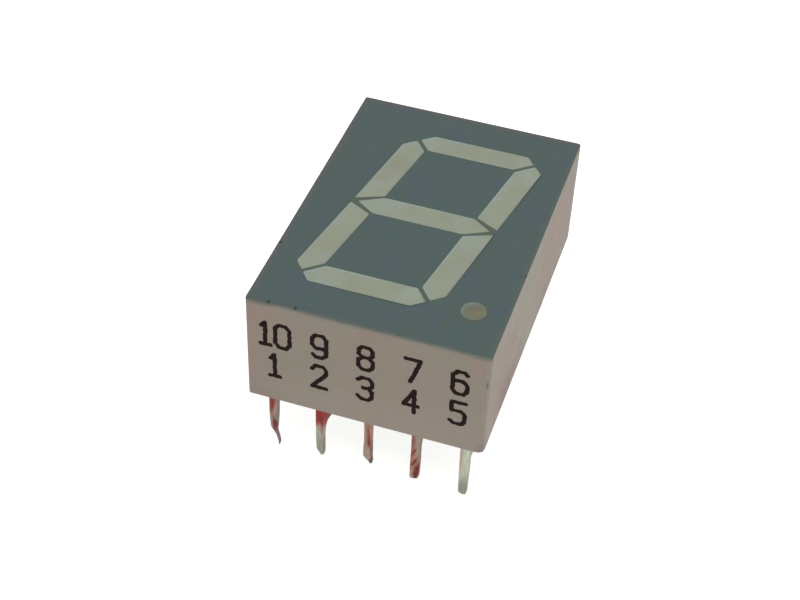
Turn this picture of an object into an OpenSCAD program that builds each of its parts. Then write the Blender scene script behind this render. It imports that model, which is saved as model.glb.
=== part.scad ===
// Single-digit LED display: seven segments and a decimal point, ten pins in two rows.
// Millimetres. +Z points out of the display face and +Y to the top of the digit.
// The origin is the centre of the underside, which is the seating plane on a board.

/* [Housing] */
// Height from the seating plane to the display face
body_h = 6.3; // [5:0.1:9]
// Wall around the recess in the back
wall = 0.5; // [0.35:0.01:0.8]
// Resin between the shoulders of the outer pins and the walls beside them
side_clearance = 0.07; // [0.05:0.01:0.5]
// Resin between a row of pins and the wall at its end of the housing
end_clearance = 0.38; // [0.1:0.01:1]
// Radius of the four upright corners
corner_r = 0.25; // [0.1:0.05:0.4]
// Depth of the recess in the back, up to the reflector plate
recess_depth = 2.6; // [1.8:0.1:3.2]
// Radius of the upright corners of the recess
recess_corner_r = 0.25; // [0.1:0.05:0.5]
// How far the cast resin stays below the rim of the recess
resin_sink = 0.15; // [0.05:0.05:0.4]

/* [Face coating] */
// Thickness of the coating on the display face
coat_t = 0.06; // [0.03:0.01:0.15]
// Bare edge between the coating and the sides of the housing
coat_margin = 0.04; // [0.01:0.01:0.3]
// Radius of the corners of the coating
coat_corner_r = 0.35; // [0.1:0.05:0.6]

/* [Digit] */
// Height of the digit
digit_h = 13; // [11.5:0.1:13.6]
// Width of the digit, before it is slanted
digit_w = 7.47; // [6.8:0.01:8]
// Width of each segment
segment_w = 1.3; // [1.15:0.05:1.4]
// Angle of the digit's slant
slant = 10; // [5:1:12]
// Gap between segments that meet at a corner of the digit
corner_gap = 0.22; // [0.1:0.01:0.4]
// Leg of the cut across each outer corner of the digit
corner_cut = 1.2; // [0.6:0.05:1.6]
// Half the gap between an upper and a lower side segment, at their outer edge
side_gap_outer = 0.22; // [0.12:0.01:0.35]
// Half the gap between an upper and a lower side segment, at their inner edge
side_gap_inner = 0.83; // [0.8:0.01:1]
// Distance from the digit's outer edge to the tip of the middle segment
middle_tip = 0.33; // [0.25:0.01:0.45]
// Distance from the digit's outer edge to the shoulder of the middle segment
middle_shoulder = 1.44; // [1.4:0.01:1.7]

/* [Decimal point] */
// Diameter of the point
point_d = 1.25; // [1.2:0.05:1.6]
// Diameter of its cavity at the back
point_back_d = 1.2; // [1.18:0.01:1.25]
// Distance of its centre from the right side of the housing
point_in = 1.7; // [1.4:0.05:1.75]
// Distance of its centre from the digit's foot, upwards
point_up = 0.7; // [0.5:0.05:0.8]
// Distance of its chip from its centre, to the right and down. The wire's far end lies opposite
point_chip_shift = 0.26; // [0.25:0.01:0.27]

/* [Light cavities] */
// Size of a cavity's outline at its back, as a part of the segment's outline
cavity_back_ratio = 0.8; // [0.75:0.01:0.95]
// Further distance by which each end of a cavity leans in towards its back
cavity_end_lean = 1; // [0.5:0.05:1.1]

/* [Pins] */
// Distance between neighbouring pins in a row
pin_pitch = 2.54; // [2.3:0.01:2.9]
// Distance between the two rows of pins
row_spacing = 15.24; // [14:0.01:18]
// Reach of the pins below the seating plane
pin_l = 4.4; // [4.3:0.1:8]
// Width of a pin
pin_w = 0.5; // [0.46:0.01:0.55]
// Width of a pin's shoulder, where it leaves the resin
shoulder_w = 0.7; // [0.6:0.01:0.9]
// Reach of the shoulder below the seating plane
shoulder_drop = 0.15; // [0.05:0.05:0.5]
// Length over which the shoulder narrows to the pin
shoulder_taper = 0.3; // [0.1:0.05:0.6]
// Cut across the corners of a pin's tip
tip_cut = 0.1; // [0.02:0.01:0.1]

/* [Lead frame] */
// Thickness of the sheet that the leads are stamped from
sheet_t = 0.25; // [0.15:0.01:0.28]
// Radius inside the bend between lead and pin
bend_r = 0.25; // [0.1:0.05:0.5]
// Length of the straight tab before the bend
tab_l = 0.3; // [0.15:0.05:0.4]
// Width of the strips that lead from the pins to the chips
strip_w = 0.4; // [0.3:0.01:0.45]
// Width of the strips of the common lead
finger_w = 0.35; // [0.3:0.01:0.4]
// Diameter of the round pad under each chip
pad_d = 0.6; // [0.5:0.02:0.62]

/* [Chips and wires] */
// Side of an LED chip
die_w = 0.3; // [0.25:0.01:0.32]
// Height of an LED chip
die_h = 0.25; // [0.15:0.01:0.3]
// Distance from a segment's middle to its chip, and to the wire's far end
die_shift = 0.5; // [0.45:0.01:0.55]
// Distance from the middle of the digit to the chip of the middle segment
middle_die_shift = 0.75; // [0.72:0.01:0.85]
// Diameter of a bond wire
bond_wire_d = 0.05; // [0.03:0.01:0.06]
// Diameter of the ball that joins a wire to its chip
ball_d = 0.12; // [0.1:0.01:0.16]
// Height of that ball
ball_h = 0.03; // [0.02:0.01:0.05]

/* [Hidden] */
SEGMENTS = ["a", "b", "c", "d", "e", "f", "g", "dp"];
$fn = 48;
// How far a cut runs past the faces that it opens
overcut = 1;

// Each segment's pin: its column, counted from the middle of its row, and its row (1 is the top)
SEGMENT_PINS = [[1, 1], [2, 1], [1, -1], [-1, -1], [-2, -1], [-1, 1], [-2, 1], [2, -1]];
outer_column = max([for (place = SEGMENT_PINS) place[0]]);

// The housing fits around the pins
body_w = 2 * outer_column * pin_pitch + shoulder_w + 2 * (side_clearance + wall);
body_l = row_spacing + sheet_t + 2 * (end_clearance + wall);

// Heights
plate_top = body_h - coat_t;
sheet_top = recess_depth;
sheet_bottom = sheet_top - sheet_t;
die_top = sheet_top + die_h;

// Half sizes of the digit, and the middle line of its outer segments
half_w = digit_w / 2;
half_h = digit_h / 2;
middle_u = half_w - segment_w / 2;
middle_v = half_h - segment_w / 2;
point_at = [body_w / 2 - point_in, point_up - half_h];

// Pins: the bend's outer radius, its centre, and the end of the tab
bend_outer = bend_r + sheet_t;
bend_y = row_spacing / 2 + sheet_t / 2 - bend_outer;
bend_z = sheet_top - bend_outer;
tab_y = bend_y - tab_l;
// Tips of the lower row, from the left, in pin widths: how much shorter the pin is, and the
// height and the width of the snip across its left corner
SNIPPED_TIPS = [[0, 2.2, 0.75], [0.2, 0.8, 0.5], [0.8, 1.2, 0.75], [0.5, 0.2, 0.2], [0, 0.3, 0.3]];

// A point of the upright digit, moved sideways by the slant
function slanted(p) = [p[0] + tan(slant) * p[1], p[1]];

// An outline turned half a turn about the middle of the digit
function turned(outline) = [for (p = outline) -p];

// An outline mirrored from the upper half of the digit to the lower, still anticlockwise
function lowered(outline) = [for (i = [len(outline) - 1 : -1 : 0]) [outline[i][0], -outline[i][1]]];

// Outlines of the upright digit's segments, anticlockwise from above
mitre = corner_gap / sqrt(2);
top_outline = [
    [mitre + segment_w - half_w, half_h - segment_w],
    [half_w - segment_w - mitre, half_h - segment_w],
    [half_w - (corner_cut + mitre) / 2, half_h - (corner_cut - mitre) / 2],
    [half_w - corner_cut, half_h],
    [corner_cut - half_w, half_h],
    [(corner_cut + mitre) / 2 - half_w, half_h - (corner_cut - mitre) / 2],
];
upper_right_outline = [
    [half_w - segment_w, side_gap_inner],
    [half_w, side_gap_outer],
    [half_w, half_h - corner_cut],
    [half_w - (corner_cut - mitre) / 2, half_h - (corner_cut + mitre) / 2],
    [half_w - segment_w, half_h - segment_w - mitre],
];
middle_outline = [
    [middle_tip - half_w, 0],
    [middle_shoulder - half_w, -segment_w / 2],
    [half_w - middle_shoulder, -segment_w / 2],
    [half_w - middle_tip, 0],
    [half_w - middle_shoulder, segment_w / 2],
    [middle_shoulder - half_w, segment_w / 2],
];
OUTLINES = [
    top_outline,
    upper_right_outline,
    lowered(upper_right_outline),
    turned(top_outline),
    turned(upper_right_outline),
    turned(lowered(upper_right_outline)),
    middle_outline,
];
// Middle of each segment of the upright digit
side_v = ((side_gap_outer + side_gap_inner) / 2 + middle_v - mitre) / 2;
CENTRES = [
    [0, middle_v], [middle_u, side_v], [middle_u, -side_v], [0, -middle_v],
    [-middle_u, -side_v], [-middle_u, side_v], [0, 0],
];
// From a segment's middle towards its chip, along the upright segment
CHIP_SIDES = [[1, 0], [0, 1], [0, -1], [-1, 0], [0, -1], [0, 1], [-1, 0]];

// A segment's outline at the back of its cavity. Every edge stays parallel to that of the window
function back_outline(i) =
    [for (p = OUTLINES[i])
        let (from_centre = p - CENTRES[i])
        CENTRES[i] + cavity_back_ratio * from_centre
            - sign(from_centre * CHIP_SIDES[i]) * cavity_end_lean * CHIP_SIDES[i]];

// The decimal point has no outline of its own, and the middle segment's is the last
function is_point(i) = i == len(OUTLINES);
function is_middle(i) = i == len(OUTLINES) - 1;

// Place of each chip, and of the far end of its wire
function die_at(i) =
    is_point(i) ? point_at + point_chip_shift * [1, -1]
    : slanted(CENTRES[i] + CHIP_SIDES[i] * (is_middle(i) ? middle_die_shift : die_shift));
function bond_at(i) =
    is_point(i) ? point_at - point_chip_shift * [1, -1]
    : is_middle(i) ? [0, 0]
    : slanted(CENTRES[i] - CHIP_SIDES[i] * die_shift);
function bond_of(name) = bond_at(search([name], SEGMENTS)[0]);

// Upright block with rounded corners, centred on the origin
module rounded_block(width, length, height, radius) {
    translate([-width / 2, radius - length / 2, 0]) cube([width, length - 2 * radius, height]);
    translate([radius - width / 2, -length / 2, 0]) cube([width - 2 * radius, length, height]);
    for (x = [-1, 1], y = [-1, 1])
        translate([x * (width / 2 - radius), y * (length / 2 - radius), 0])
            cylinder(r = radius, h = height);
}

// Solid between two outlines of as many points, one above the other
module tapered_block(lower, upper, bottom, top) {
    count = len(lower);
    polyhedron(
        points = concat([for (p = lower) [p[0], p[1], bottom]], [for (p = upper) [p[0], p[1], top]]),
        faces = concat(
            [[for (i = [0 : count - 1]) i], [for (i = [count - 1 : -1 : 0]) count + i]],
            [for (i = [0 : count - 1])
                let (next = (i + 1) % count) [i, count + i, count + next, next]]
        )
    );
}

// Windows of the display face, between two heights
module windows(bottom, top) {
    for (outline = OUTLINES)
        translate([0, 0, bottom]) linear_extrude(height = top - bottom)
            polygon([for (p = outline) slanted(p)]);
    translate([point_at[0], point_at[1], bottom]) cylinder(d = point_d, h = top - bottom);
}

// Light cavities, from the recess to the front of the reflector plate
module cavities() {
    for (i = [0 : len(OUTLINES) - 1])
        tapered_block(
            [for (p = back_outline(i)) slanted(p)], [for (p = OUTLINES[i]) slanted(p)],
            recess_depth, plate_top
        );
    translate([point_at[0], point_at[1], recess_depth])
        cylinder(d1 = point_back_d, d2 = point_d, h = plate_top - recess_depth);
}

// Space inside the housing: the recess from a given height, the cavities and the windows
module inside(bottom) {
    translate([0, 0, bottom])
        rounded_block(body_w - 2 * wall, body_l - 2 * wall, recess_depth - bottom, recess_corner_r);
    cavities();
    windows(plate_top, body_h);
}

// Strip of sheet along a path, with round ends and joints
module strip(path, width) {
    for (i = [1 : len(path) - 1]) {
        run = path[i] - path[i - 1];
        translate([path[i - 1][0], path[i - 1][1], sheet_bottom])
            rotate([0, 0, atan2(run[1], run[0])])
                translate([0, -width / 2, 0]) cube([norm(run), width, sheet_t]);
    }
    for (p = path) translate([p[0], p[1], sheet_bottom]) cylinder(d = width, h = sheet_t);
}

// Pin with its shoulder, its bend and its tab. The tip is [shorter by, snip height, snip width]
module pin(column, row, tip) {
    tip_z = tip[0] - pin_l;
    leg_outline = [
        [-shoulder_w / 2, bend_z],
        [-shoulder_w / 2, -shoulder_drop],
        [-pin_w / 2, -shoulder_drop - shoulder_taper],
        [-pin_w / 2, tip_z + tip[1]],
        [tip[2] - pin_w / 2, tip_z],
        [pin_w / 2 - tip_cut, tip_z],
        [pin_w / 2, tip_z + tip_cut],
        [pin_w / 2, -shoulder_drop - shoulder_taper],
        [shoulder_w / 2, -shoulder_drop],
        [shoulder_w / 2, bend_z],
    ];
    translate([column * pin_pitch, 0, 0]) facing_row(row) {
        translate([-shoulder_w / 2, tab_y, sheet_bottom]) cube([shoulder_w, tab_l, sheet_t]);
        translate([0, bend_y, bend_z]) rotate([0, -90, 0]) rotate_extrude(angle = 90)
            translate([bend_r, -shoulder_w / 2]) square([sheet_t, shoulder_w]);
        translate([0, bend_y + bend_outer, 0]) rotate([90, 0, 0])
            linear_extrude(height = sheet_t) polygon(leg_outline);
    }
}

// Places what is drawn for the top row in the given row
module facing_row(row) {
    if (row < 0) mirror([0, 1, 0]) children();
    else children();
}

// Tip of a pin: those of the top row are square
function tip_of(column, row) =
    row > 0 ? [0, tip_cut, tip_cut] : pin_w * SNIPPED_TIPS[column + outer_column];

module housing() {
    color([0.58, 0.54, 0.5]) difference() {
        rounded_block(body_w, body_l, plate_top, corner_r);
        inside(-overcut);
    }
}

module face_coating() {
    color([0.33, 0.39, 0.39]) difference() {
        translate([0, 0, plate_top])
            rounded_block(body_w - 2 * coat_margin, body_l - 2 * coat_margin, coat_t, coat_corner_r);
        windows(plate_top - overcut, body_h + overcut);
    }
}

module resin_fill() {
    color([0.6, 0.62, 0.54]) difference() {
        inside(resin_sink);
        common_lead();
        for (i = [0 : len(SEGMENTS) - 1]) {
            segment_lead(i);
            die(i);
            wire(i);
        }
    }
}

// Lead that joins the middle pins of both rows and reaches the far end of every wire
module common_lead() {
    color([0.72, 0.72, 0.68]) {
        for (row = [-1, 1]) pin(0, row, tip_of(0, row));
        strip([[0, tab_y], [0, -tab_y]], finger_w);
        for (name = ["a", "b", "d", "e", "f"])
            strip([[0, bond_of(name)[1]], bond_of(name)], finger_w);
        strip(
            [[0, bond_of("c")[1]], [bond_of("dp")[0], bond_of("c")[1]], bond_of("dp")], finger_w
        );
    }
}

// Lead of one segment: along its pin's column to the level of the chip, then across to the pad
module segment_lead(i) {
    column = SEGMENT_PINS[i][0];
    row = SEGMENT_PINS[i][1];
    pad_at = die_at(i);
    color([0.72, 0.72, 0.68]) {
        pin(column, row, tip_of(column, row));
        strip([[column * pin_pitch, row * tab_y], [column * pin_pitch, pad_at[1]], pad_at], strip_w);
        translate([pad_at[0], pad_at[1], sheet_bottom]) cylinder(d = pad_d, h = sheet_t);
    }
}

module die(i) {
    color([0.75, 0.35, 0.2])
        translate([die_at(i)[0] - die_w / 2, die_at(i)[1] - die_w / 2, sheet_top])
            cube([die_w, die_w, die_h]);
}

// Bond wire in one arc, which stands square on the common lead and lands on the chip's middle
module wire(i) {
    run = bond_at(i) - die_at(i);
    arc_x = (norm(run) - die_h * die_h / norm(run)) / 2;
    color([0.85, 0.65, 0.25])
        translate([die_at(i)[0], die_at(i)[1], 0]) rotate([0, 0, atan2(run[1], run[0])]) {
            difference() {
                translate([arc_x, 0, sheet_top]) rotate([90, 0, 0]) rotate_extrude(angle = 180)
                    translate([norm(run) - arc_x, 0]) circle(d = bond_wire_d);
                translate([-die_w / 2, -die_w / 2, die_top - overcut]) cube([die_w, die_w, overcut]);
            }
            translate([0, 0, die_top]) cylinder(d = ball_d, h = ball_h);
        }
}

housing();
face_coating();
resin_fill();
common_lead();
for (i = [0 : len(SEGMENTS) - 1]) {
    segment_lead(i);
    die(i);
    wire(i);
}
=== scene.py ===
"""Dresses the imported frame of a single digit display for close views.

The frame gives every solid its place. The housing, the coated face, the cast resin and the leads
are worked over from the frame's own solids, the pin numbers are added, and each finish is a
pattern of nodes. Lengths are in millimetres until a mesh or a pattern takes them in metres.
"""

from __future__ import annotations

import logging
import math
from collections.abc import Callable, Iterator, Mapping, Sequence
from contextlib import contextmanager
from dataclasses import dataclass, field
from enum import Enum

import bmesh
import bpy
from mathutils import Matrix, Vector, noise

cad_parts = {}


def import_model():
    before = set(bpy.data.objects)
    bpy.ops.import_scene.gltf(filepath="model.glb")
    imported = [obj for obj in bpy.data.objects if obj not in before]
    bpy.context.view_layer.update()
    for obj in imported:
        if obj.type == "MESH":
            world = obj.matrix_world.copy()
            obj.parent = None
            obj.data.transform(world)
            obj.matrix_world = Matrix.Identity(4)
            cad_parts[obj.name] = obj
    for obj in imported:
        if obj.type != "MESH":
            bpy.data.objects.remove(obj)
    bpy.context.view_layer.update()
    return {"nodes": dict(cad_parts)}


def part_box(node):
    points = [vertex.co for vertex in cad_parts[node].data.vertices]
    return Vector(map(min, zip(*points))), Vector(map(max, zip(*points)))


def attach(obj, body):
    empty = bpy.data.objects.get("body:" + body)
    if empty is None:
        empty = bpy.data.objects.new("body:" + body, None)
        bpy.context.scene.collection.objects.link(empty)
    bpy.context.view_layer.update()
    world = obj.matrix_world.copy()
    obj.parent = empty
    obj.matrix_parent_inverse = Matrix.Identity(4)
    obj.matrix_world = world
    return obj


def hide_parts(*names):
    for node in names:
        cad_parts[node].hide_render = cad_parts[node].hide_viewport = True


MM = 0.001
BODY = "root"
# How near to each other two places count as one, in fine and in coarse shapes
TIGHT = 0.001
LOOSE = 0.01
# Angle between two faces past which their edge is a slight and a sharp one, in radians
SLIGHT = 0.3
SHARP = 1.0
# Distance from the middle of the display to the outer face of a row of pins, and a pin's width
ROWS = 7.745
PIN_WIDTH = 0.5
# The value that the film's points carry around the windows, where painted shade darkens it
RIM = "rim"
log = logging.getLogger("display")

Colour = tuple[float, float, float, float]
Triple = tuple[float, float, float]
# A mark on a finish: its middle, its half sizes, its strength from 0 to 1 and its colour
Mark = tuple[Triple, Triple, float, Colour]
Socket = bpy.types.NodeSocket


def tone(red: float, green: float, blue: float) -> Colour:
    """Turns a colour as it looks on a screen into the linear one that a shader takes.

    Args:
        red: Red from 0 to 255.
        green: Green from 0 to 255.
        blue: Blue from 0 to 255.

    Returns:
        The linear colour, opaque.
    """
    shares = [value / 255 for value in (red, green, blue)]
    lit = [s / 12.92 if s <= 0.04045 else ((s + 0.055) / 1.055) ** 2.4 for s in shares]
    return (lit[0], lit[1], lit[2], 1.0)


def heading(run: Vector) -> float:
    """Gives the way that a line runs across the display, in degrees from the right."""
    return math.degrees(math.atan2(run.y, run.x))


# ---------------------------------------------------------------------------------------------
# Working tools
# ---------------------------------------------------------------------------------------------


class Element(Enum):
    """What an edit picks from a mesh."""

    VERTICES = "VERT"
    EDGES = "EDGE"
    FACES = "FACE"


def work_on(piece: bpy.types.Object) -> None:
    """Makes one piece the only one selected, and the active one.

    Args:
        piece: The piece.
    """
    if bpy.context.object is not None and bpy.context.object.mode != "OBJECT":
        bpy.ops.object.mode_set(mode="OBJECT")
    bpy.ops.object.select_all(action="DESELECT")
    piece.select_set(True)
    bpy.context.view_layer.objects.active = piece


@contextmanager
def editing(piece: bpy.types.Object) -> Iterator[None]:
    """Keeps a piece, as the only one selected, in edit mode for a block of work.

    Args:
        piece: The piece.
    """
    work_on(piece)
    bpy.ops.object.mode_set(mode="EDIT")
    yield
    bpy.ops.object.mode_set(mode="OBJECT")


@contextmanager
def opened(piece: bpy.types.Object) -> Iterator[bmesh.types.BMesh]:
    """Hands out the mesh of a piece in edit mode, and takes back what was changed in it.

    Args:
        piece: The piece.

    Yields:
        The mesh.
    """
    mesh = bmesh.from_edit_mesh(piece.data)
    yield mesh
    bmesh.update_edit_mesh(piece.data)


def pick(piece: bpy.types.Object, element: Element, wanted: Callable[..., bool]) -> int:
    """Selects the elements of a piece in edit mode that pass a test.

    Args:
        piece: The piece, which is in edit mode.
        element: The kind of element that is picked.
        wanted: Test that takes a bmesh element.

    Returns:
        How many elements were picked.
    """
    bpy.ops.mesh.select_mode(type=element.value)
    bpy.ops.mesh.select_all(action="DESELECT")
    with opened(piece) as mesh:
        elements = {
            Element.VERTICES: mesh.verts,
            Element.EDGES: mesh.edges,
            Element.FACES: mesh.faces,
        }[element]
        picked = [item for item in elements if wanted(item)]
        for item in picked:
            item.select_set(True)
        mesh.select_flush_mode()
    return len(picked)


def sheets_at(height: float, way: int) -> Callable[[bmesh.types.BMFace], bool]:
    """Makes a test for the level faces at the top or the foot of a piece.

    Args:
        height: Height of the top or the foot.
        way: 1 for faces that look up, or -1 for faces that look down.

    Returns:
        The test.
    """
    return lambda face: (
        face.normal.z * way > 0.999
        and (face.calc_center_median().z / MM - height) * way > -LOOSE
    )


def reworked(node: str, name: str) -> bpy.types.Object:
    """Copies a solid of the frame into a piece that stands for it.

    Its loose triangles are merged at their corners.

    Args:
        node: The solid's name in the frame.
        name: The name of the new piece.

    Returns:
        The piece, in object mode, with no material.
    """
    piece = bpy.data.objects.new(name, bpy.data.objects[node].data.copy())
    piece.data.name = name
    piece.data.materials.clear()
    bpy.context.scene.collection.objects.link(piece)
    work_on(piece)
    bpy.ops.mesh.customdata_custom_splitnormals_clear()
    with editing(piece):
        bpy.ops.mesh.select_all(action="SELECT")
        bpy.ops.mesh.remove_doubles(threshold=TIGHT / 2 * MM)
    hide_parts(node)
    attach(piece, BODY)
    return piece


def joined_flats(piece: bpy.types.Object, wanted: Callable[..., bool]) -> None:
    """Joins triangles that lie in one plane, so that bevels run clean along their outline.

    Args:
        piece: The piece, in object mode.
        wanted: Test that takes a bmesh face.
    """
    with editing(piece):
        pick(piece, Element.FACES, wanted)
        bpy.ops.mesh.dissolve_limited(angle_limit=math.radians(0.4))


def eased(
    piece: bpy.types.Object,
    width: float,
    steps: int,
    wanted: Callable[..., bool],
    limited: bool = True,
) -> None:
    """Rounds the picked edges of a piece.

    Args:
        piece: The piece, in object mode.
        width: How far the round reaches from the edge.
        steps: Faces across the round.
        wanted: Test that takes a bmesh edge.
        limited: Whether the shortest edge limits the round everywhere.
    """
    with editing(piece):
        if pick(piece, Element.EDGES, wanted):
            bpy.ops.mesh.bevel(
                offset=width * MM,
                segments=steps,
                profile=0.5,
                affect="EDGES",
                clamp_overlap=limited,
            )


def terraced(steps: Sequence[tuple[float, float]]) -> None:
    """Insets the picked faces step by step, each by a width and a depth into the piece."""
    for width, depth in steps:
        bpy.ops.mesh.inset(thickness=width * MM, depth=-depth * MM, use_boundary=True)


def cut_across(at: Triple | Vector, way: Triple | Vector) -> None:
    """Cuts new edges into the piece in edit mode where a plane crosses it.

    Args:
        at: A point of the plane.
        way: The plane's normal.
    """
    bpy.ops.mesh.select_all(action="SELECT")
    bpy.ops.mesh.bisect(plane_co=Vector(at) * MM, plane_no=way)


def applied(piece: bpy.types.Object, kind: str, **settings: object) -> None:
    """Adds a modifier to the active piece, sets it and applies it.

    Args:
        piece: The active piece.
        kind: The modifier's type.
        **settings: The modifier's properties.
    """
    bpy.ops.object.modifier_add(type=kind)
    modifier = piece.modifiers[-1]
    for name, value in settings.items():
        setattr(modifier, name, value)
    bpy.ops.object.modifier_apply(modifier=modifier.name)


def finished(piece: bpy.types.Object, angle: float = 35.0) -> None:
    """Splits a piece's large faces, and shades it smooth but for its sharp edges.

    Args:
        piece: The piece, in object mode.
        angle: Angle between two faces past which their edge is sharp, in degrees.
    """
    with editing(piece):
        pick(piece, Element.FACES, lambda face: len(face.verts) > 4)
        bpy.ops.mesh.quads_convert_to_tris(quad_method="BEAUTY", ngon_method="BEAUTY")
    bpy.ops.object.shade_smooth_by_angle(angle=math.radians(angle))
    applied(piece, "WEIGHTED_NORMAL", keep_sharp=True)
    piece.select_set(False)


# ---------------------------------------------------------------------------------------------
# Finishes
# ---------------------------------------------------------------------------------------------


class Nodes:
    """The nodes of a material or a world."""

    def __init__(self, owner: bpy.types.Material | bpy.types.World) -> None:
        """Starts without a node.

        Args:
            owner: The material or the world.
        """
        owner.use_nodes = True
        self.tree = owner.node_tree
        self.tree.nodes.clear()

    def node(
        self, kind: str, inputs: Mapping[int | str, object] | None = None, **settings: object
    ) -> bpy.types.Node:
        """Adds a node, sets its properties and feeds its inputs.

        Args:
            kind: The node's type.
            inputs: What each input takes: a socket that is linked to it, or a constant.
            **settings: The node's properties.

        Returns:
            The node.
        """
        made = self.tree.nodes.new(kind)
        for name, value in settings.items():
            setattr(made, name, value)
        for name, value in (inputs or {}).items():
            if isinstance(value, Socket):
                self.tree.links.new(value, made.inputs[name])
            else:
                made.inputs[name].default_value = value
        return made

    def maths(
        self, operation: str, first: object, second: object = 0.0, clamp: bool = False
    ) -> Socket:
        """Adds a Math node and returns its result."""
        fed = {0: first, 1: second}
        return self.node("ShaderNodeMath", fed, operation=operation, use_clamp=clamp).outputs[0]

    def seen_directly(self) -> Socket:
        """Tells a ray of the camera, a reflection or glass from all others.

        Returns:
            1 for such a ray, and 0 otherwise.
        """
        ray = self.node("ShaderNodeLightPath").outputs
        found = ray["Is Camera Ray"]
        for name in ("Is Glossy Ray", "Is Transmission Ray"):
            found = self.maths("MAXIMUM", found, ray[name])
        return found


class Graph(Nodes):
    """The nodes of one material, which read the piece's own coordinates."""

    def __init__(self, name: str) -> None:
        """Starts an empty material.

        Args:
            name: The material's name.
        """
        self.material = bpy.data.materials.new(name)
        super().__init__(self.material)
        self.place = self.node("ShaderNodeTexCoord").outputs["Object"]

    def scaled(self, value: object, factor: float, shift: object = 0.0) -> Socket:
        """Multiplies a value by a factor and adds a shift."""
        fed = {0: value, 1: factor, 2: shift}
        return self.node("ShaderNodeMath", fed, operation="MULTIPLY_ADD").outputs[0]

    def around(self, mean: float, pattern: object, span: float) -> Socket:
        """Makes a value vary by a pattern, over a span about its mean."""
        return self.scaled(pattern, span, mean - span / 2)

    def along(self, axis: int) -> Socket:
        """Gives one of the piece's own coordinates, in metres."""
        return self.node("ShaderNodeSeparateXYZ", {0: self.place}).outputs[axis]

    def facing(self, way: Triple) -> Socket:
        """Tells how far the surface faces a way, from -1 to 1."""
        fed = {0: self.node("ShaderNodeNewGeometry").outputs["Normal"], 1: way}
        return self.node("ShaderNodeVectorMath", fed, operation="DOT_PRODUCT").outputs["Value"]

    def carried(self, name: str) -> Socket:
        """Reads a value that the piece's own points carry."""
        return self.node("ShaderNodeAttribute", attribute_name=name).outputs["Fac"]

    def placed(self, scale: Sequence[float], shift: Triple) -> Socket:
        """Gives the piece's own coordinates, scaled and then shifted."""
        fed = {"Vector": self.place, "Scale": scale, "Location": shift}
        return self.node("ShaderNodeMapping", fed).outputs[0]

    def noise(
        self,
        size: float,
        detail: float = 3.0,
        rough: float = 0.55,
        stretch: Triple = (1.0, 1.0, 1.0),
        seed: float = 0.0,
    ) -> Socket:
        """Adds a cloudy pattern.

        Args:
            size: Size of its features.
            detail: Octaves of finer features.
            rough: Strength of the finer features.
            stretch: How many times longer the features are along each axis.
            seed: Shift that makes patterns of one size differ.

        Returns:
            A value around 0.5.
        """
        place = self.placed([1 / (size * MM * s) for s in stretch], (seed, 1.7 * seed, 2.3 * seed))
        fed = {"Vector": place, "Scale": 1.0, "Detail": detail, "Roughness": rough}
        return self.node("ShaderNodeTexNoise", fed).outputs[0]

    def grains(self, size: float, seed: float = 0.0) -> Socket:
        """Adds a pattern of cells.

        Args:
            size: Size of the cells.
            seed: Shift that makes patterns of one size differ.

        Returns:
            The distance to the nearest cell's middle, as a share of that size.
        """
        place = self.placed([1 / (size * MM)] * 3, (seed, -seed, 0.5 * seed))
        fed = {"Vector": place, "Scale": 1.0}
        return self.node("ShaderNodeTexVoronoi", fed).outputs["Distance"]

    def between(self, value: object, low: float, high: float) -> Socket:
        """Turns a value into a soft step that is 0 at low and 1 at high."""
        fed = {"Value": value, "From Min": low, "From Max": high}
        return self.node("ShaderNodeMapRange", fed, interpolation_type="SMOOTHSTEP").outputs[0]

    def mix(self, share: object, under: object, over: object) -> Socket:
        """Lays one colour over another by a share from 0 to 1."""
        fed = {0: share, 6: under, 7: over}
        return self.node("ShaderNodeMix", fed, data_type="RGBA", clamp_factor=True).outputs[2]

    def lay(self, colour: object, patch: object, strength: float, shade: Colour) -> Socket:
        """Lays a shade over a colour where a patch is, at a strength from 0 to 1."""
        return self.mix(self.scaled(patch, strength), colour, shade)

    def darken(self, colour: object, value: object, least: float, most: float) -> Socket:
        """Multiplies a colour by a pattern that is stretched between two strengths.

        Args:
            colour: The colour.
            value: The pattern.
            least: Strength where the pattern is low.
            most: Strength where it is high.

        Returns:
            The new colour.
        """
        # Nearly all of a cloudy pattern lies between these two values
        span = {"From Min": 0.3, "From Max": 0.7, "To Min": least, "To Max": most}
        factor = self.node("ShaderNodeMapRange", {"Value": value, **span}).outputs["Result"]
        fed = {0: colour, "Scale": factor}
        return self.node("ShaderNodeVectorMath", fed, operation="SCALE").outputs[0]

    def spot(
        self,
        at: Triple,
        half: Triple,
        turn: Triple = (0.0, 0.0, 0.0),
        soft: float = 0.4,
        ragged: float = 0.0,
        grain: float = 0.15,
    ) -> Socket:
        """Adds a rounded patch of influence around a point.

        Args:
            at: Its middle.
            half: Its half sizes.
            turn: Its turns about the axes, in degrees.
            soft: Width of its soft rim, as a share of its half size.
            ragged: How far its rim wanders, as a share of its half size.
            grain: Size of the wander.

        Returns:
            A value that is 1 inside and 0 outside.
        """
        fed = {
            "Vector": self.place,
            "Location": [value * MM for value in at],
            "Rotation": [math.radians(angle) for angle in turn],
            "Scale": [value * MM for value in half],
        }
        inside = self.node("ShaderNodeMapping", fed, vector_type="TEXTURE").outputs[0]
        away = self.node("ShaderNodeVectorMath", {0: inside}, operation="LENGTH").outputs["Value"]
        if ragged:
            wander = self.scaled(self.noise(grain, 2, 0.6, seed=sum(at)), 2 * ragged, -ragged)
            away = self.maths("ADD", away, wander)
        return self.between(away, 1 + soft, 1 - soft)

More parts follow.
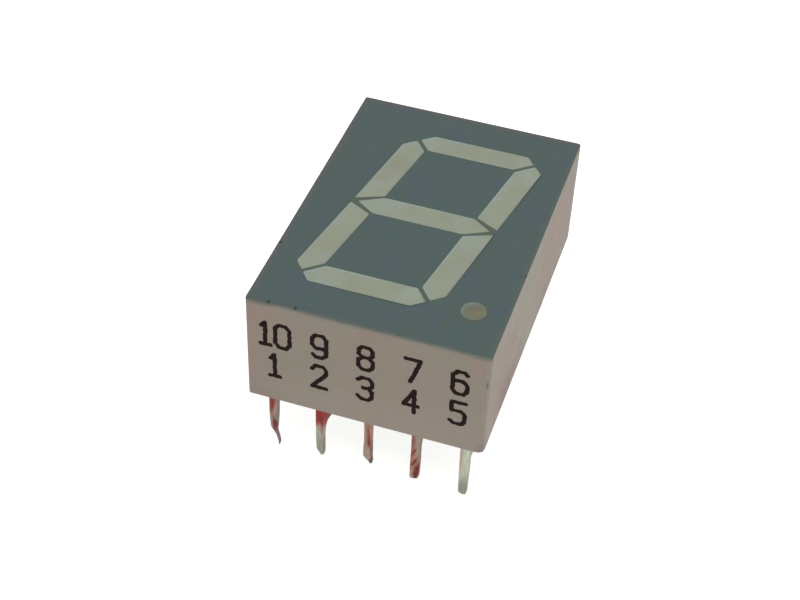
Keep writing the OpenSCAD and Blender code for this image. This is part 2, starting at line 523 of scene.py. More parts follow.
    def marked(self, colour: object, marks: Sequence[Mark], ragged: float, grain: float) -> Socket:
        """Lays ragged patches over a colour, one after another.

        Args:
            colour: The colour.
            marks: The patches.
            ragged: How far their rims wander, as a share of their half sizes.
            grain: Size of the wander.

        Returns:
            The colour with its marks.
        """
        for at, half, strength, shade in marks:
            patch = self.spot(at, half, soft=0.6, ragged=ragged, grain=grain)
            colour = self.lay(colour, patch, strength, shade)
        return colour

    def bump(self, height: object, depth: float, below: Socket | None = None) -> Socket:
        """Raises the surface by a pattern.

        Args:
            height: The pattern, from 0 to 1.
            depth: The height of its peaks.
            below: A normal that this one is laid over.

        Returns:
            The new normal.
        """
        fed = {"Strength": 1.0, "Distance": depth * MM, "Height": height}
        if below is not None:
            fed["Normal"] = below
        return self.node("ShaderNodeBump", fed).outputs[0]

    def shaded(self, **inputs: object) -> bpy.types.Material:
        """Closes the graph with a Principled shader, whose inputs are named with underscores.

        Args:
            **inputs: What each input takes: a socket or a constant.

        Returns:
            The material.
        """
        fed = {name.replace("_", " "): value for name, value in inputs.items()}
        shader = self.node("ShaderNodeBsdfPrincipled", fed)
        self.node("ShaderNodeOutputMaterial", {"Surface": shader.outputs[0]})
        return self.material


@dataclass(frozen=True)
class MouldedPlastic:
    """Pinkish grey moulded plastic, faintly clouded, scuffed at one corner, darker and browner low
    down, with painted highlights on two edges and painted light low on the near side.
    """

    plain: Colour = tone(163, 152, 140)
    pink: Colour = tone(168, 149, 138)
    green: Colour = tone(158, 153, 138)
    edge_highlight: Colour = tone(161, 162, 150)
    corner_highlight: Colour = tone(170, 163, 151)
    overspray: Colour = tone(138, 139, 130)
    heavy_overspray: Colour = tone(112, 118, 108)
    pink_corner: Colour = tone(184, 142, 136)
    darker_brown: Colour = tone(144, 121, 116)
    scuffed: Colour = tone(112, 100, 94)
    roughness: float = 0.55

    def material(self, low: Vector, high: Vector) -> bpy.types.Material:
        """Makes the material.

        Args:
            low: The housing's lowest corner, in millimetres.
            high: Its highest corner.

        Returns:
            The material.
        """
        g = Graph("moulded_plastic")
        colour = g.mix(g.between(g.noise(2.6, 2, 0.5), 0.46, 0.7), self.plain, self.pink)
        colour = g.mix(g.between(g.noise(1.9, 2, 0.5, seed=4.0), 0.5, 0.74), colour, self.green)
        colour = g.darken(colour, g.noise(0.5, 4, 0.6, seed=2.0), 0.975, 1.02)
        colour = g.darken(colour, g.noise(0.06, 2, 0.6, seed=9.0), 0.97, 1.03)
        colour = g.marked(colour, self.stains(low, high), ragged=0.4, grain=0.6)
        colour = g.marked(colour, self.scuffs(low, high), ragged=0.5, grain=0.08)
        rough = g.around(self.roughness, g.noise(0.8, 3, seed=6.0), 0.2)
        normal = g.bump(g.noise(0.09, 3, 0.6, seed=1.0), 0.0025)
        normal = g.bump(g.noise(1.6, 2, 0.5, seed=3.0), 0.02, normal)
        return g.shaded(Base_Color=colour, Roughness=rough, Normal=normal, Specular_IOR_Level=0.2)

    def stains(self, low: Vector, high: Vector) -> tuple[Mark, ...]:
        """Gives the broad marks of the housing.

        Args:
            low: The housing's lowest corner, in millimetres.
            high: Its highest corner.

        Returns:
            The marks.
        """
        return (
            # The long right side is greener along its middle and pinker at both ends
            ((high.x, -0.6, 3.0), (0.3, 2.8, 3.6), 0.7, tone(162, 158, 141)),
            ((high.x, 4.2, 3.3), (0.3, 3.2, 3.4), 0.85, tone(165, 144, 133)),
            ((high.x, 0.9, 5.0), (0.3, 1.0, 0.9), 0.4, tone(164, 149, 139)),
            ((high.x, -6.6, 2.3), (0.4, 0.6, 0.8), 0.5, tone(158, 137, 127)),
            ((high.x, -5.6, 3.6), (0.3, 2.0, 2.4), 0.5, tone(169, 149, 138)),
            # Painted highlights lie along the upper edge on the right and down the near upright
            # corner by it
            ((high.x, 0.0, high.z), (0.2, high.y, 0.26), 0.8, self.edge_highlight),
            ((high.x - 0.02, low.y + 0.06, 3.4), (0.22, 0.14, 3.4), 0.45, self.corner_highlight),
            # The spray gun has dusted the top of the near side
            ((0.0, low.y, high.z + 0.02), (high.x + 0.4, 0.2, 0.14), 0.8, self.overspray),
            ((low.x + 0.5, low.y, high.z + 0.02), (0.9, 0.2, 0.2), 0.6, self.heavy_overspray),
            ((high.x - 0.5, low.y, high.z + 0.02), (0.8, 0.2, 0.16), 0.5, self.heavy_overspray),
            # The near upright corner on the left is pinker
            ((low.x, low.y + 0.06, 2.9), (0.28, 0.24, 2.2), 0.5, self.pink_corner),
            # Darker, browner patches, most of them along the foot
            ((high.x, low.y + 0.1, 0.15), (0.36, 0.4, 0.5), 0.7, self.darker_brown),
            ((high.x, low.y + 3.4, 2.0), (0.5, 1.9, 2.1), 0.5, tone(162, 138, 127)),
            ((high.x, low.y + 3.3, 1.1), (0.5, 1.2, 1.0), 0.5, self.darker_brown),
            ((high.x, low.y + 6.1, 0.9), (0.5, 0.9, 1.0), 0.45, self.darker_brown),
            ((high.x, low.y + 12.5, 0.4), (0.5, 1.8, 0.9), 0.25, self.darker_brown),
            ((high.x, -4.4, 0.5), (0.5, 1.4, 0.8), 0.85, self.darker_brown),
            ((low.x + 0.6, low.y, 0.1), (1.5, 0.4, 0.5), 0.15, self.darker_brown),
            # The left side is darker below the face. Painted light makes the near side paler low
            # down
            ((low.x, low.y + 8.0, 4.4), (0.5, 4.6, 0.9), 0.25, self.darker_brown),
            ((1.5, low.y, 0.5), (5.2, 0.4, 1.5), 0.5, tone(172, 160, 149)),
        )

    def scuffs(self, low: Vector, high: Vector) -> list[Mark]:
        """Gives the small scuffs and pits of the housing.

        Args:
            low: The housing's lowest corner, in millimetres.
            high: Its highest corner.

        Returns:
            The marks.
        """
        places: tuple[tuple[Triple, Triple, float], ...] = (
            ((high.x - 0.12, low.y + 0.02, 4.6), (0.06, 0.1, 0.22), 0.65),
            ((high.x - 0.16, low.y, 3.6), (0.03, 0.08, 0.6), 0.25),
            ((high.x, low.y + 5.2, 3.05), (0.05, 0.09, 0.06), 0.8),
            ((low.x + 4.25, low.y, 5.5), (0.035, 0.05, 0.035), 0.5),
            ((low.x + 7.5, low.y, 5.6), (0.03, 0.05, 0.04), 0.5),
            ((low.x + 2.6, high.y, 3.1), (0.06, 0.05, 0.05), 0.7),
            ((low.x, low.y + 11.4, 2.2), (0.05, 0.08, 0.05), 0.7),
        )
        return [(at, half, strength, self.scuffed) for at, half, strength in places]


@dataclass(frozen=True)
class FacePaint:
    """Matt blue-grey paint, mottled, with dark specks, a browner outer rim, painted shade around
    its windows and painted light on its near and right walls.
    """

    plain: Colour = tone(79, 95, 93)
    blue: Colour = tone(80, 93, 99)
    green: Colour = tone(79, 97, 92)
    rim: Colour = tone(100, 94, 93)
    olive: Colour = tone(92, 101, 89)
    near_left_dark: Colour = tone(84, 91, 81)
    faded: Colour = tone(104, 107, 102)
    lit_wall: Colour = tone(131, 133, 126)
    thin: Colour = tone(88, 92, 80)
    window_shade: Colour = tone(62, 70, 57)
    bar: Colour = tone(88, 97, 87)
    speck: Colour = tone(34, 32, 34)
    dust: Colour = tone(108, 112, 112)
    roughness: float = 0.62

    def material(
        self, low: Vector, high: Vector, point: Vector, bars: Sequence[tuple[Vector, Vector]]
    ) -> bpy.types.Material:
        """Makes the material.

        Args:
            low: The film's lowest corner, in millimetres.
            high: Its highest corner.
            point: The middle of the decimal point.
            bars: The two ends of each bar between neighbouring windows.

        Returns:
            The material.
        """
        g = Graph("face_paint")
        colour = g.mix(g.between(g.noise(1.5, 3, 0.6), 0.46, 0.68), self.plain, self.blue)
        colour = g.mix(g.between(g.noise(1.1, 3, 0.6, seed=5.0), 0.5, 0.7), colour, self.green)
        colour = g.darken(colour, g.noise(0.22, 3, 0.6, seed=8.0), 0.965, 1.03)
        colour = g.darken(colour, g.noise(0.045, 2, 0.7, seed=11.0), 0.955, 1.045)
        colour = self.edged(g, colour, low, high)
        # It is thin and brown around the decimal point
        halo = g.spot((point.x + 0.02, point.y - 0.1, high.z), (0.76, 0.76, 0.3), soft=0.2)
        colour = g.lay(colour, halo, 0.55, self.thin)
        # Painted shade darkens it around the windows, most of all on their lower right, which the
        # light leaves dark
        rim_shade = g.maths("MULTIPLY", g.carried(RIM), g.scaled(g.noise(0.3, 2, seed=13.0), 0.5, 0.45))
        colour = g.mix(rim_shade, colour, self.window_shade)
        for first, second in bars:
            middle, run = (first + second) / 2, second - first
            bar = g.spot(
                (middle.x, middle.y, high.z), (run.length * 0.5, 0.11, 0.3), (0, 0, heading(run))
            )
            colour = g.lay(colour, bar, 0.85, self.bar)
        colour = self.specked(g, colour, low, high)
        rough = g.around(self.roughness, g.noise(0.5, 3, seed=6.0), 0.16)
        normal = g.bump(g.noise(0.05, 3, 0.65, seed=1.0), 0.002)
        normal = g.bump(g.noise(0.6, 2, 0.5, seed=2.0), 0.006, normal)
        return g.shaded(Base_Color=colour, Roughness=rough, Normal=normal, Specular_IOR_Level=0.25)

    def edged(self, g: Graph, colour: Socket, low: Vector, high: Vector) -> Socket:
        """Makes the film browner, greener or thinner along its outer edges, and paints light on its
        walls that face the near side and the right.

        Args:
            g: The material's graph.
            colour: The paint's colour so far.
            low: The film's lowest corner.
            high: Its highest corner.

        Returns:
            The new colour.
        """
        wander = g.maths("MULTIPLY", g.noise(0.35, 3, seed=7.0), 0.12 * MM)
        # Each band has its axis and way, the distances where it starts and is full, its strength
        # and its colour
        for axis, way, inner, outer, strength, shade in (
            (0, -1.0, high.x - 0.3, high.x - 0.02, 0.6, self.rim),
            (1, 1.0, high.y - 0.36, high.y - 0.02, 0.75, self.rim),
            (0, 1.0, high.x - 0.14, high.x + 0.04, 0.7, self.olive),
            (1, -1.0, high.y - 0.07, high.y + 0.08, 0.8, self.faded),
        ):
            edge = g.between(g.scaled(g.along(axis), way, wander), inner * MM, outer * MM)
            colour = g.lay(colour, edge, strength, shade)
        # Painted light lightens the film's walls that face the near side and the right
        for way, strength in (((0.0, -1.0, 0.0), 0.95), ((1.0, 0.0, 0.0), 0.6)):
            side = g.between(g.facing(way), 0.35, 0.85)
            colour = g.lay(colour, side, strength, self.lit_wall)
        # Darker along the near edge by the left corner
        near_left_dark = g.spot((low.x + 0.5, low.y + 0.03, high.z), (0.95, 0.14, 0.3), soft=0.5)
        return g.lay(colour, near_left_dark, 0.65, self.near_left_dark)

    def specked(self, g: Graph, colour: Socket, low: Vector, high: Vector) -> Socket:
        """Strews dark specks, each with its place and its radius, and pale dust over the film.

        Args:
            g: The material's graph.
            colour: The paint's colour so far.
            low: The film's lowest corner.
            high: Its highest corner.

        Returns:
            The new colour.
        """
        specks: tuple[tuple[float, float, float], ...] = (
            (low.x + 0.09, -4.36, 0.075),
            (-4.85, low.y + 0.07, 0.08),
            (-3.52, low.y + 0.08, 0.085),
            (1.55, low.y + 0.04, 0.035),
            (-4.3, 5.6, 0.025),
            (-3.85, 7.1, 0.02),
            (5.1, 1.9, 0.02),
            (0.9, 2.7, 0.022),
            (-0.4, -3.5, 0.02),
            (2.4, 7.9, 0.02),
        )
        for x, y, radius in specks:
            half = (radius, radius, 0.2)
            patch = g.spot((x, y, high.z), half, soft=0.35, ragged=0.45, grain=0.05)
            colour = g.lay(colour, patch, 0.9, self.speck)
        return g.lay(colour, g.between(g.grains(0.42, seed=3.0), 0.07, 0.02), 0.3, self.dust)


@dataclass(frozen=True)
class CastResin:
    """Milky greenish resin that lets the chips and the leads below it show as warm smudges.

    Attributes:
        tints: Place, half size and strength of each smudge.
        roughness: Its mean roughness.
        face: Height of the display face.
        deep: How far a smudge reaches below the face.
        recess: Heights below and above which the resin is the back's and the windows'.
    """

    plain: Colour = tone(148, 156, 136)
    cool: Colour = tone(150, 161, 146)
    warm: Colour = tone(146, 146, 125)
    brown: Colour = tone(140, 132, 109)
    point: Colour = tone(106, 107, 89)
    point_rim: Colour = tone(112, 118, 103)
    lit_crescent: Colour = tone(115, 127, 123)
    point_yellow: Colour = tone(120, 122, 82)
    point_pink: Colour = tone(128, 113, 100)
    back: Colour = tone(168, 172, 150)
    lit: Colour = tone(150, 166, 161)
    shaded: Colour = tone(124, 128, 104)
    tints: tuple[tuple[float, float, float, float], ...] = (
        (-2.8, 3.4, 0.9, 0.38),
        (-3.0, 2.2, 0.35, 0.34),
        (-2.1, 4.9, 0.5, 0.16),
        (-3.7, -4.0, 0.8, 0.12),
        (2.6, -2.8, 0.9, 0.2),
        (0.0, 5.8, 0.9, 0.28),
        (2.6, 5.8, 0.7, 0.24),
        (1.0, 0.0, 0.7, 0.08),
        (-1.0, -5.8, 0.8, 0.12),
    )
    roughness: float = 0.42
    face: float = 6.3
    deep: float = 3.0
    recess: tuple[float, float] = (2.6, 3.0)

    def material(self, chips: Sequence[tuple[Vector, Vector]]) -> bpy.types.Material:
        """Makes the material.

        Args:
            chips: Each chip's middle and the far end of its wire, the point's last.

        Returns:
            The material.
        """
        g = Graph("casting_resin")
        colour = g.mix(g.between(g.noise(1.4, 2, 0.5), 0.4, 0.65), self.plain, self.cool)
        warmth = g.between(g.noise(0.9, 2, 0.5, seed=3.0), 0.5, 0.74)
        colour = g.lay(colour, warmth, 0.35, self.warm)
        colour = g.darken(colour, g.noise(0.16, 3, 0.6, seed=5.0), 0.975, 1.02)
        for chip, end in chips[:-1]:
            middle = (chip + end) / 2
            tray = g.spot(
                self.under(middle.x, middle.y), (1.35, 0.5, self.deep),
                (0, 0, heading(end - chip)), 0.75, 0.3, 0.8,
            )
            colour = g.lay(colour, tray, 0.18, self.warm)
            pad = self.smudge(g, chip.x, chip.y, 0.42, 0.8, 0.3, 0.4)
            colour = g.lay(colour, pad, 0.1, self.brown)
        for x, y, half, strength in self.tints:
            tint = self.smudge(g, x, y, half, 0.8, 0.4, 0.6)
            colour = g.lay(colour, tint, strength, self.brown)
        # The meniscus turns its rim to the light on the upper left and from it on the lower right
        for way, strength, shade in (
            ((0.7, -0.7, 0.0), 0.75, self.lit),
            ((-0.7, 0.7, 0.0), 0.45, self.shaded),
        ):
            colour = g.lay(colour, g.between(g.facing(way), 0.03, 0.2), strength, shade)
        colour = self.pointed(g, colour, sum(chips[-1], Vector()) / 2)
        back = g.between(g.along(2), self.recess[1] * MM, self.recess[0] * MM)
        colour = g.mix(back, colour, self.back)
        rough = g.around(self.roughness, g.noise(0.7, 3, seed=6.0), 0.16)
        bubbles = g.between(g.grains(0.55, seed=7.0), 0.1, 0.16)
        normal = g.bump(g.noise(0.12, 2, 0.6, seed=1.0), 0.0015)
        normal = g.bump(g.noise(1.2, 1, 0.5, seed=2.0), 0.02, normal)
        pitted = g.maths("MAXIMUM", bubbles, g.maths("SUBTRACT", 1.0, back))
        normal = g.bump(pitted, 0.012, normal)
        return g.shaded(Base_Color=colour, Roughness=rough, Normal=normal, Specular_IOR_Level=0.4)

    def pointed(self, g: Graph, colour: Socket, middle: Vector) -> Socket:
        """Gives the window of the point its own shades, from its rim to its middle, with a painted
        highlight on its left rim.

        Args:
            g: The material's graph.
            colour: The resin's colour so far.
            middle: The middle of the point.

        Returns:
            The new colour.
        """
        for right, up, half, soft, strength, shade in (
            # A painted highlight on the left of the rim, which turns to the light
            (0.0, 0.0, 0.72, 0.08, 1.0, self.lit_crescent),
            (0.09, 0.0, 0.62, 0.14, 1.0, self.point_rim),
            (0.09, -0.07, 0.5, 0.3, 1.0, self.point),
            (0.34, -0.02, 0.2, 0.6, 0.8, self.point_yellow),
            (-0.12, -0.2, 0.2, 0.8, 0.4, self.point_yellow),
            (0.08, -0.02, 0.24, 0.7, 0.4, self.point_pink),
        ):
            disc = self.smudge(g, middle.x + right, middle.y + up, half, soft, 0.15, 0.25)
            colour = g.lay(colour, disc, strength, shade)
        return colour

    def under(self, x: float, y: float) -> Triple:
        """Gives the middle of a smudge from its place across and up the display."""
        return (x, y, self.face)

    def smudge(
        self, g: Graph, x: float, y: float, half: float, soft: float, ragged: float, grain: float
    ) -> Socket:
        """Adds a round patch of influence under the face, as Graph.spot does."""
        return g.spot(self.under(x, y), (half, half, self.deep), (0, 0, 0), soft, ragged, grain)


@dataclass(frozen=True)
class Patch:
    """A patch of colour on a pin, placed from the pin's middle line and from the underside.

    Attributes:
        right: How far its middle lies right of the pin's middle line.
        up: Height of its middle above the underside.
        wide: Its half width.
        tall: Its half height.
        lean: How far its top leans to the right, in degrees.
        colour: Its colour.
        strength: How well it covers, from 0 to 1.
    """

    right: float
    up: float
    wide: float
    tall: float
    lean: float
    colour: Colour
    strength: float = 1.0


RED = tone(170, 44, 38)
DARK_RED = tone(124, 34, 35)
ROSE = tone(204, 156, 140)
CLAY = tone(178, 118, 102)
BROWN = tone(126, 82, 74)
GREY = tone(140, 127, 114)
DRAB = tone(162, 157, 141)
SAND = tone(186, 166, 148)
MAUVE = tone(166, 128, 130)
SOOT = tone(98, 88, 86)
BLUSH = tone(206, 188, 176)


class PinMarks(Enum):
    """How the red, pink and pale streaks of each marked pin of the lower row look, from the top
    down.
    """

    CLEAN = ()
    FIRST = (
        Patch(0.0, -2.0, 0.5, 2.6, 0, GREY, 0.8),
        Patch(-0.13, -2.6, 0.09, 0.6, 0, SAND, 0.6),
        Patch(0.28, -1.7, 0.07, 1.4, 0, MAUVE, 0.4),
        Patch(-0.05, -1.3, 0.15, 0.5, 6, RED, 0.8),
        Patch(-0.06, -1.2, 0.06, 0.4, 0, DARK_RED, 0.6),
        Patch(-0.1, -1.7, 0.06, 0.32, 0, DARK_RED, 0.6),
        # A painted highlight runs down the pin from its top right
        Patch(0.1, -1.8, 0.06, 0.62, 8, ROSE, 0.95),
        Patch(0.1, -2.9, 0.14, 0.56, -8, DARK_RED, 1.0),
        Patch(0.1, -2.95, 0.08, 0.4, -8, DARK_RED, 0.9),
        Patch(0.26, -3.6, 0.12, 0.5, -10, MAUVE, 0.9),
        Patch(0.37, -4.1, 0.12, 0.3, 0, SOOT, 0.9),
    )
    SECOND = (
        Patch(0.0, -0.95, 0.6, 1.15, 0, RED, 1.0),
        Patch(0.0, -1.2, 0.3, 0.75, 0, RED, 1.0),
        Patch(0.04, -1.55, 0.08, 0.45, 0, DARK_RED, 0.6),
        Patch(-0.18, -1.5, 0.05, 0.5, 0, DARK_RED, 0.5),
        Patch(0.3, -1.5, 0.05, 0.4, 14, CLAY, 0.6),
        Patch(0.53, -1.05, 0.14, 0.45, 24, BROWN, 0.8),
        Patch(-0.02, -2.2, 0.05, 0.32, 0, SAND, 0.9),
        Patch(0.1, -2.35, 0.06, 0.35, 0, BROWN, 0.8),
        Patch(0.0, -3.5, 0.5, 1.05, 0, DRAB, 0.75),
        Patch(0.17, -3.3, 0.05, 0.9, 0, GREY, 0.4),
    )
    THIRD = (
        Patch(0.0, -2.0, 0.5, 2.6, 0, CLAY, 0.8),
        Patch(0.14, -1.6, 0.08, 0.7, 0, ROSE, 0.7),
        Patch(-0.11, -1.9, 0.05, 0.7, 0, ROSE, 0.5),
        Patch(-0.2, -1.7, 0.06, 0.8, 0, SAND, 0.6),
        Patch(0.05, -2.0, 0.09, 0.7, -4, DARK_RED, 0.6),
        Patch(0.07, -2.35, 0.05, 0.3, -4, DARK_RED, 0.7),
        Patch(-0.06, -3.2, 0.22, 0.5, 0, SAND, 0.85),
        Patch(0.22, -3.1, 0.07, 0.8, 0, BROWN, 0.8),
        Patch(0.2, -3.75, 0.14, 0.26, 0, SOOT, 0.8),
    )
    FOURTH = (
        Patch(-0.1, -2.0, 0.3, 2.6, 0, CLAY, 0.95),
        Patch(0.07, -1.55, 0.12, 0.85, 0, SAND, 0.95),
        Patch(-0.16, -1.3, 0.06, 0.55, 0, BROWN, 0.5),
        Patch(0.24, -2.1, 0.07, 1.3, 0, BROWN, 0.6),
        Patch(-0.12, -2.15, 0.06, 0.3, 24, DARK_RED, 0.9),
        Patch(-0.04, -2.5, 0.04, 0.3, 24, ROSE, 0.8),
        Patch(-0.07, -2.9, 0.07, 0.34, 24, DARK_RED, 0.85),
        Patch(-0.08, -3.4, 0.05, 0.45, 14, ROSE, 0.9),
        Patch(0.09, -3.5, 0.16, 0.66, 8, DARK_RED, 1.0),
        Patch(0.09, -3.6, 0.09, 0.45, 8, DARK_RED, 1.0),
        Patch(-0.2, -3.9, 0.08, 0.45, 0, SAND, 0.85),
    )
    FIFTH = (
        Patch(-0.22, -1.6, 0.1, 1.1, 0, BLUSH, 0.8),
        Patch(-0.1, -2.6, 0.08, 0.7, 0, BLUSH, 0.4),
        Patch(0.26, -2.2, 0.05, 1.6, 0, DRAB, 0.6),
        Patch(0.0, -4.0, 0.5, 0.9, 0, DRAB, 0.8),
    )


@dataclass(frozen=True)
class DullTin:
    """Dull tin on stamped sheet, drawn into long streaks by the dip, with red, pink and pale
    streaks on some pins.
    """

    bright: Colour = tone(194, 202, 182)
    dull: Colour = tone(176, 180, 161)
    oxide: Colour = tone(156, 154, 139)
    metallic: float = 0.55
    roughness: float = 0.46

    def material(self, name: str, column: float, pin_marks: PinMarks) -> bpy.types.Material:
        """Makes the material of one lead.

        Args:
            name: The material's name.
            column: Place of its pin across the display.
            pin_marks: The red, pink and pale streaks of its pin in the lower row.

        Returns:
            The material.
        """
        g = Graph(name)
        streaks = g.noise(0.11, 3, 0.55, (1, 1, 9), seed=column)
        colour = g.mix(g.between(streaks, 0.38, 0.62), self.dull, self.bright)
        oxide = g.between(g.noise(0.7, 3, 0.6, (1, 1, 2), seed=3 + column), 0.52, 0.7)
        colour = g.mix(g.maths("MULTIPLY", oxide, 0.7), colour, self.oxide)
        patchy = g.scaled(g.noise(0.07, 2, 0.6, (1, 1, 8), seed=9 + column), 0.9, 0.58)
        covered: Socket | None = None
        for mark in pin_marks.value:
            patch = g.spot(
                (column + mark.right, -ROWS, mark.up), (mark.wide, 0.9, mark.tall),
                (0, mark.lean, 0), 0.6, 0.5, 0.13,
            )
            share = g.maths("MULTIPLY", g.scaled(patch, mark.strength), patchy, clamp=True)
            colour = g.mix(share, colour, mark.colour)
            covered = share if covered is None else g.maths("MAXIMUM", covered, share)
        colour = g.darken(colour, g.noise(0.09, 3, 0.6, (1, 1, 3), seed=7.0), 0.93, 1.05)
        rough = g.around(self.roughness, g.noise(0.2, 3, 0.6, (1, 1, 4), seed=2.0), 0.24)
        normal = g.bump(g.noise(0.16, 3, 0.5, (1, 1, 5), seed=1 + column), 0.012)
        normal = g.bump(g.noise(0.6, 1, 0.5, (1, 1, 2), seed=4 + column), 0.03, normal)
        metal: object = self.metallic
        if covered is not None:
            metal = g.scaled(covered, -self.metallic, self.metallic)
        return g.shaded(
            Base_Color=colour, Metallic=metal, Roughness=rough, Normal=normal,
            Specular_IOR_Level=0.25,
        )


@dataclass(frozen=True)
class LedCrystal:
    """Orange crystal of a chip, with a bright contact in the middle of its top."""

    crystal: Colour = tone(178, 96, 52)
    facet: Colour = tone(208, 138, 84)
    contact: Colour = tone(226, 196, 120)

    def material(self, name: str, middle: Vector) -> bpy.types.Material:
        """Makes the material of one chip.

        Args:
            name: The material's name.
            middle: The middle of the chip's top, in millimetres.

        Returns:
            The material.
        """
        g = Graph(name)
        colour = g.mix(g.between(g.noise(0.08, 3, 0.6), 0.4, 0.7), self.crystal, self.facet)
        pad = g.spot(tuple(middle), (0.07, 0.07, 0.03), soft=0.1)
        colour = g.mix(pad, colour, self.contact)
        normal = g.bump(g.noise(0.03, 2, 0.6), 0.002)
        return g.shaded(
            Base_Color=colour, Roughness=0.2, Metallic=g.scaled(pad, 0.9), Normal=normal, IOR=1.8
        )


@dataclass(frozen=True)
class DrawnGold:
    """Gold of a bond wire, with fine marks along its length."""

    gold: Colour = tone(226, 178, 92)
    deep: Colour = tone(198, 146, 66)

    def material(self) -> bpy.types.Material:
        """Makes the material.

        Returns:
            The material.
        """
        g = Graph("drawn_gold")
        marks = g.noise(0.03, 3, 0.6)
        colour = g.mix(g.between(marks, 0.4, 0.65), self.deep, self.gold)
        return g.shaded(
            Base_Color=colour, Metallic=1.0, Roughness=0.28, Normal=g.bump(marks, 0.001)
        )


@dataclass(frozen=True)
class StampInk:
    """Brown-black ink, thin enough for the plastic to show through in places."""

    ink: Colour = tone(30, 14, 14)
    thin: Colour = tone(60, 44, 40)

    def material(self) -> bpy.types.Material:
        """Makes the material.

        Returns:
            The material.
        """
        g = Graph("stamp_ink")
        worn = g.between(g.noise(0.14, 4, 0.7), 0.56, 0.74)
        colour = g.mix(worn, self.ink, self.thin)
        normal = g.bump(g.noise(0.05, 2, 0.6), 0.003)
        return g.shaded(Base_Color=colour, Roughness=0.7, Normal=normal, Specular_IOR_Level=0.1)


# ---------------------------------------------------------------------------------------------
# Sub-assemblies
# ---------------------------------------------------------------------------------------------


def corners(node: str) -> tuple[Vector, Vector]:
    """Gives the lowest and the highest corner of a solid of the frame, in millimetres."""
    low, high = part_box(node)
    return low / MM, high / MM


def tightened(place: Vector, outline: Vector, old: float, new: float) -> tuple[float, float]:
    """Moves a point on a rounded upright corner to a corner with another round.

    Args:
        place: The point.
        outline: The highest corner of the outline's box.
        old: Round of the corner now.
        new: Round of the new corner.

    Returns:
        The new place across the display, or the old one where the point is on no corner.
    """
    flat = Vector((abs(place.x), abs(place.y)))
    turned = (flat - Vector((outline.x - old, outline.y - old))) / old
    if min(turned) * old > 2 * TIGHT:
        flat = Vector((outline.x - new, outline.y - new)) + turned * new
    return math.copysign(flat.x, place.x), math.copysign(flat.y, place.y)


@dataclass(frozen=True)
class SegmentBars:
    """The fine bars between neighbouring windows, which are narrower than the frame has them.

    Attributes:
        floor: Height above which a point belongs to the windows' outlines.
        outside: Distance from the middle, across and up, past which it belongs to no window.
        reach: Corners nearer to each other than this stand on both sides of a bar.
        step: How far each of them moves into the bar at the top and the foot of the digit.
        waist_step: How far each of them moves by the middle segment.
        waist: Distance from the middle, up and down, within which a corner is by that segment.
        shortest: Length that every bar exceeds.
        longest: Length that no bar reaches.
    """

    floor: float = 6.2
    outside: tuple[float, float] = (5.5, 8.1)
    reach: float = 0.5
    step: float = 0.014
    waist_step: float = 0.047
    waist: float = 2.0
    shortest: float = 0.9
    longest: float = 1.7

    def narrow(self, piece: bpy.types.Object) -> None:
        """Moves the corners of neighbouring windows together.

        Args:
            piece: The film or the resin, in object mode.
        """
        upper = self.on_windows(piece.data, self.floor)
        places = {self.flat(vertex) for vertex in upper}
        for vertex in upper:
            here = Vector(self.flat(vertex))
            apart = [Vector(p) - here for p in places]
            across = [gap for gap in apart if 0 < gap.length < self.reach]
            # The round window's points have more neighbours than a corner has
            if len(across) in (1, 2):
                step = self.waist_step if abs(here.y) < self.waist else self.step
                way = sum(across, Vector((0, 0))).normalized() * step * MM
                vertex.co.x += way.x
                vertex.co.y += way.y

    def runs(self, node: str) -> list[tuple[Vector, Vector]]:
        """Finds the bars of a film of the frame.

        Args:
            node: The film's name.

        Returns:
            The two ends of each bar, in millimetres.
        """
        mesh = bpy.data.objects[node].data
        top = max(vertex.co.z for vertex in mesh.vertices) / MM
        places = sorted({self.flat(vertex) for vertex in self.on_windows(mesh, top - TIGHT)})
        ends: list[Vector] = []
        for index, place in enumerate(places):
            near = [p for p in places if p != place and math.dist(p, place) < self.reach]
            if len(near) in (1, 2):
                ends += [(Vector(place) + Vector(p)) / 2 for p in near if p in places[index:]]
        return [
            (first, second) for index, first in enumerate(ends) for second in ends[index:]
            if self.shortest < (first - second).length < self.longest
        ]

    def on_windows(self, mesh: bpy.types.Mesh, floor: float) -> list[bpy.types.MeshVertex]:
        """Finds the points on the windows' outlines.

        Args:
            mesh: The mesh.
            floor: Height above which a point is one of them.

        Returns:
            The points.
        """
        return [
            vertex for vertex in mesh.vertices
            if vertex.co.z / MM > floor
            and abs(vertex.co.x / MM) < self.outside[0]
            and abs(vertex.co.y / MM) < self.outside[1]
        ]

    @staticmethod
    def flat(vertex: bpy.types.MeshVertex) -> tuple[float, float]:
        """Gives a point's place across and up the display, in whole micrometres."""
        return (round(vertex.co.x / MM, 3), round(vertex.co.y / MM, 3))


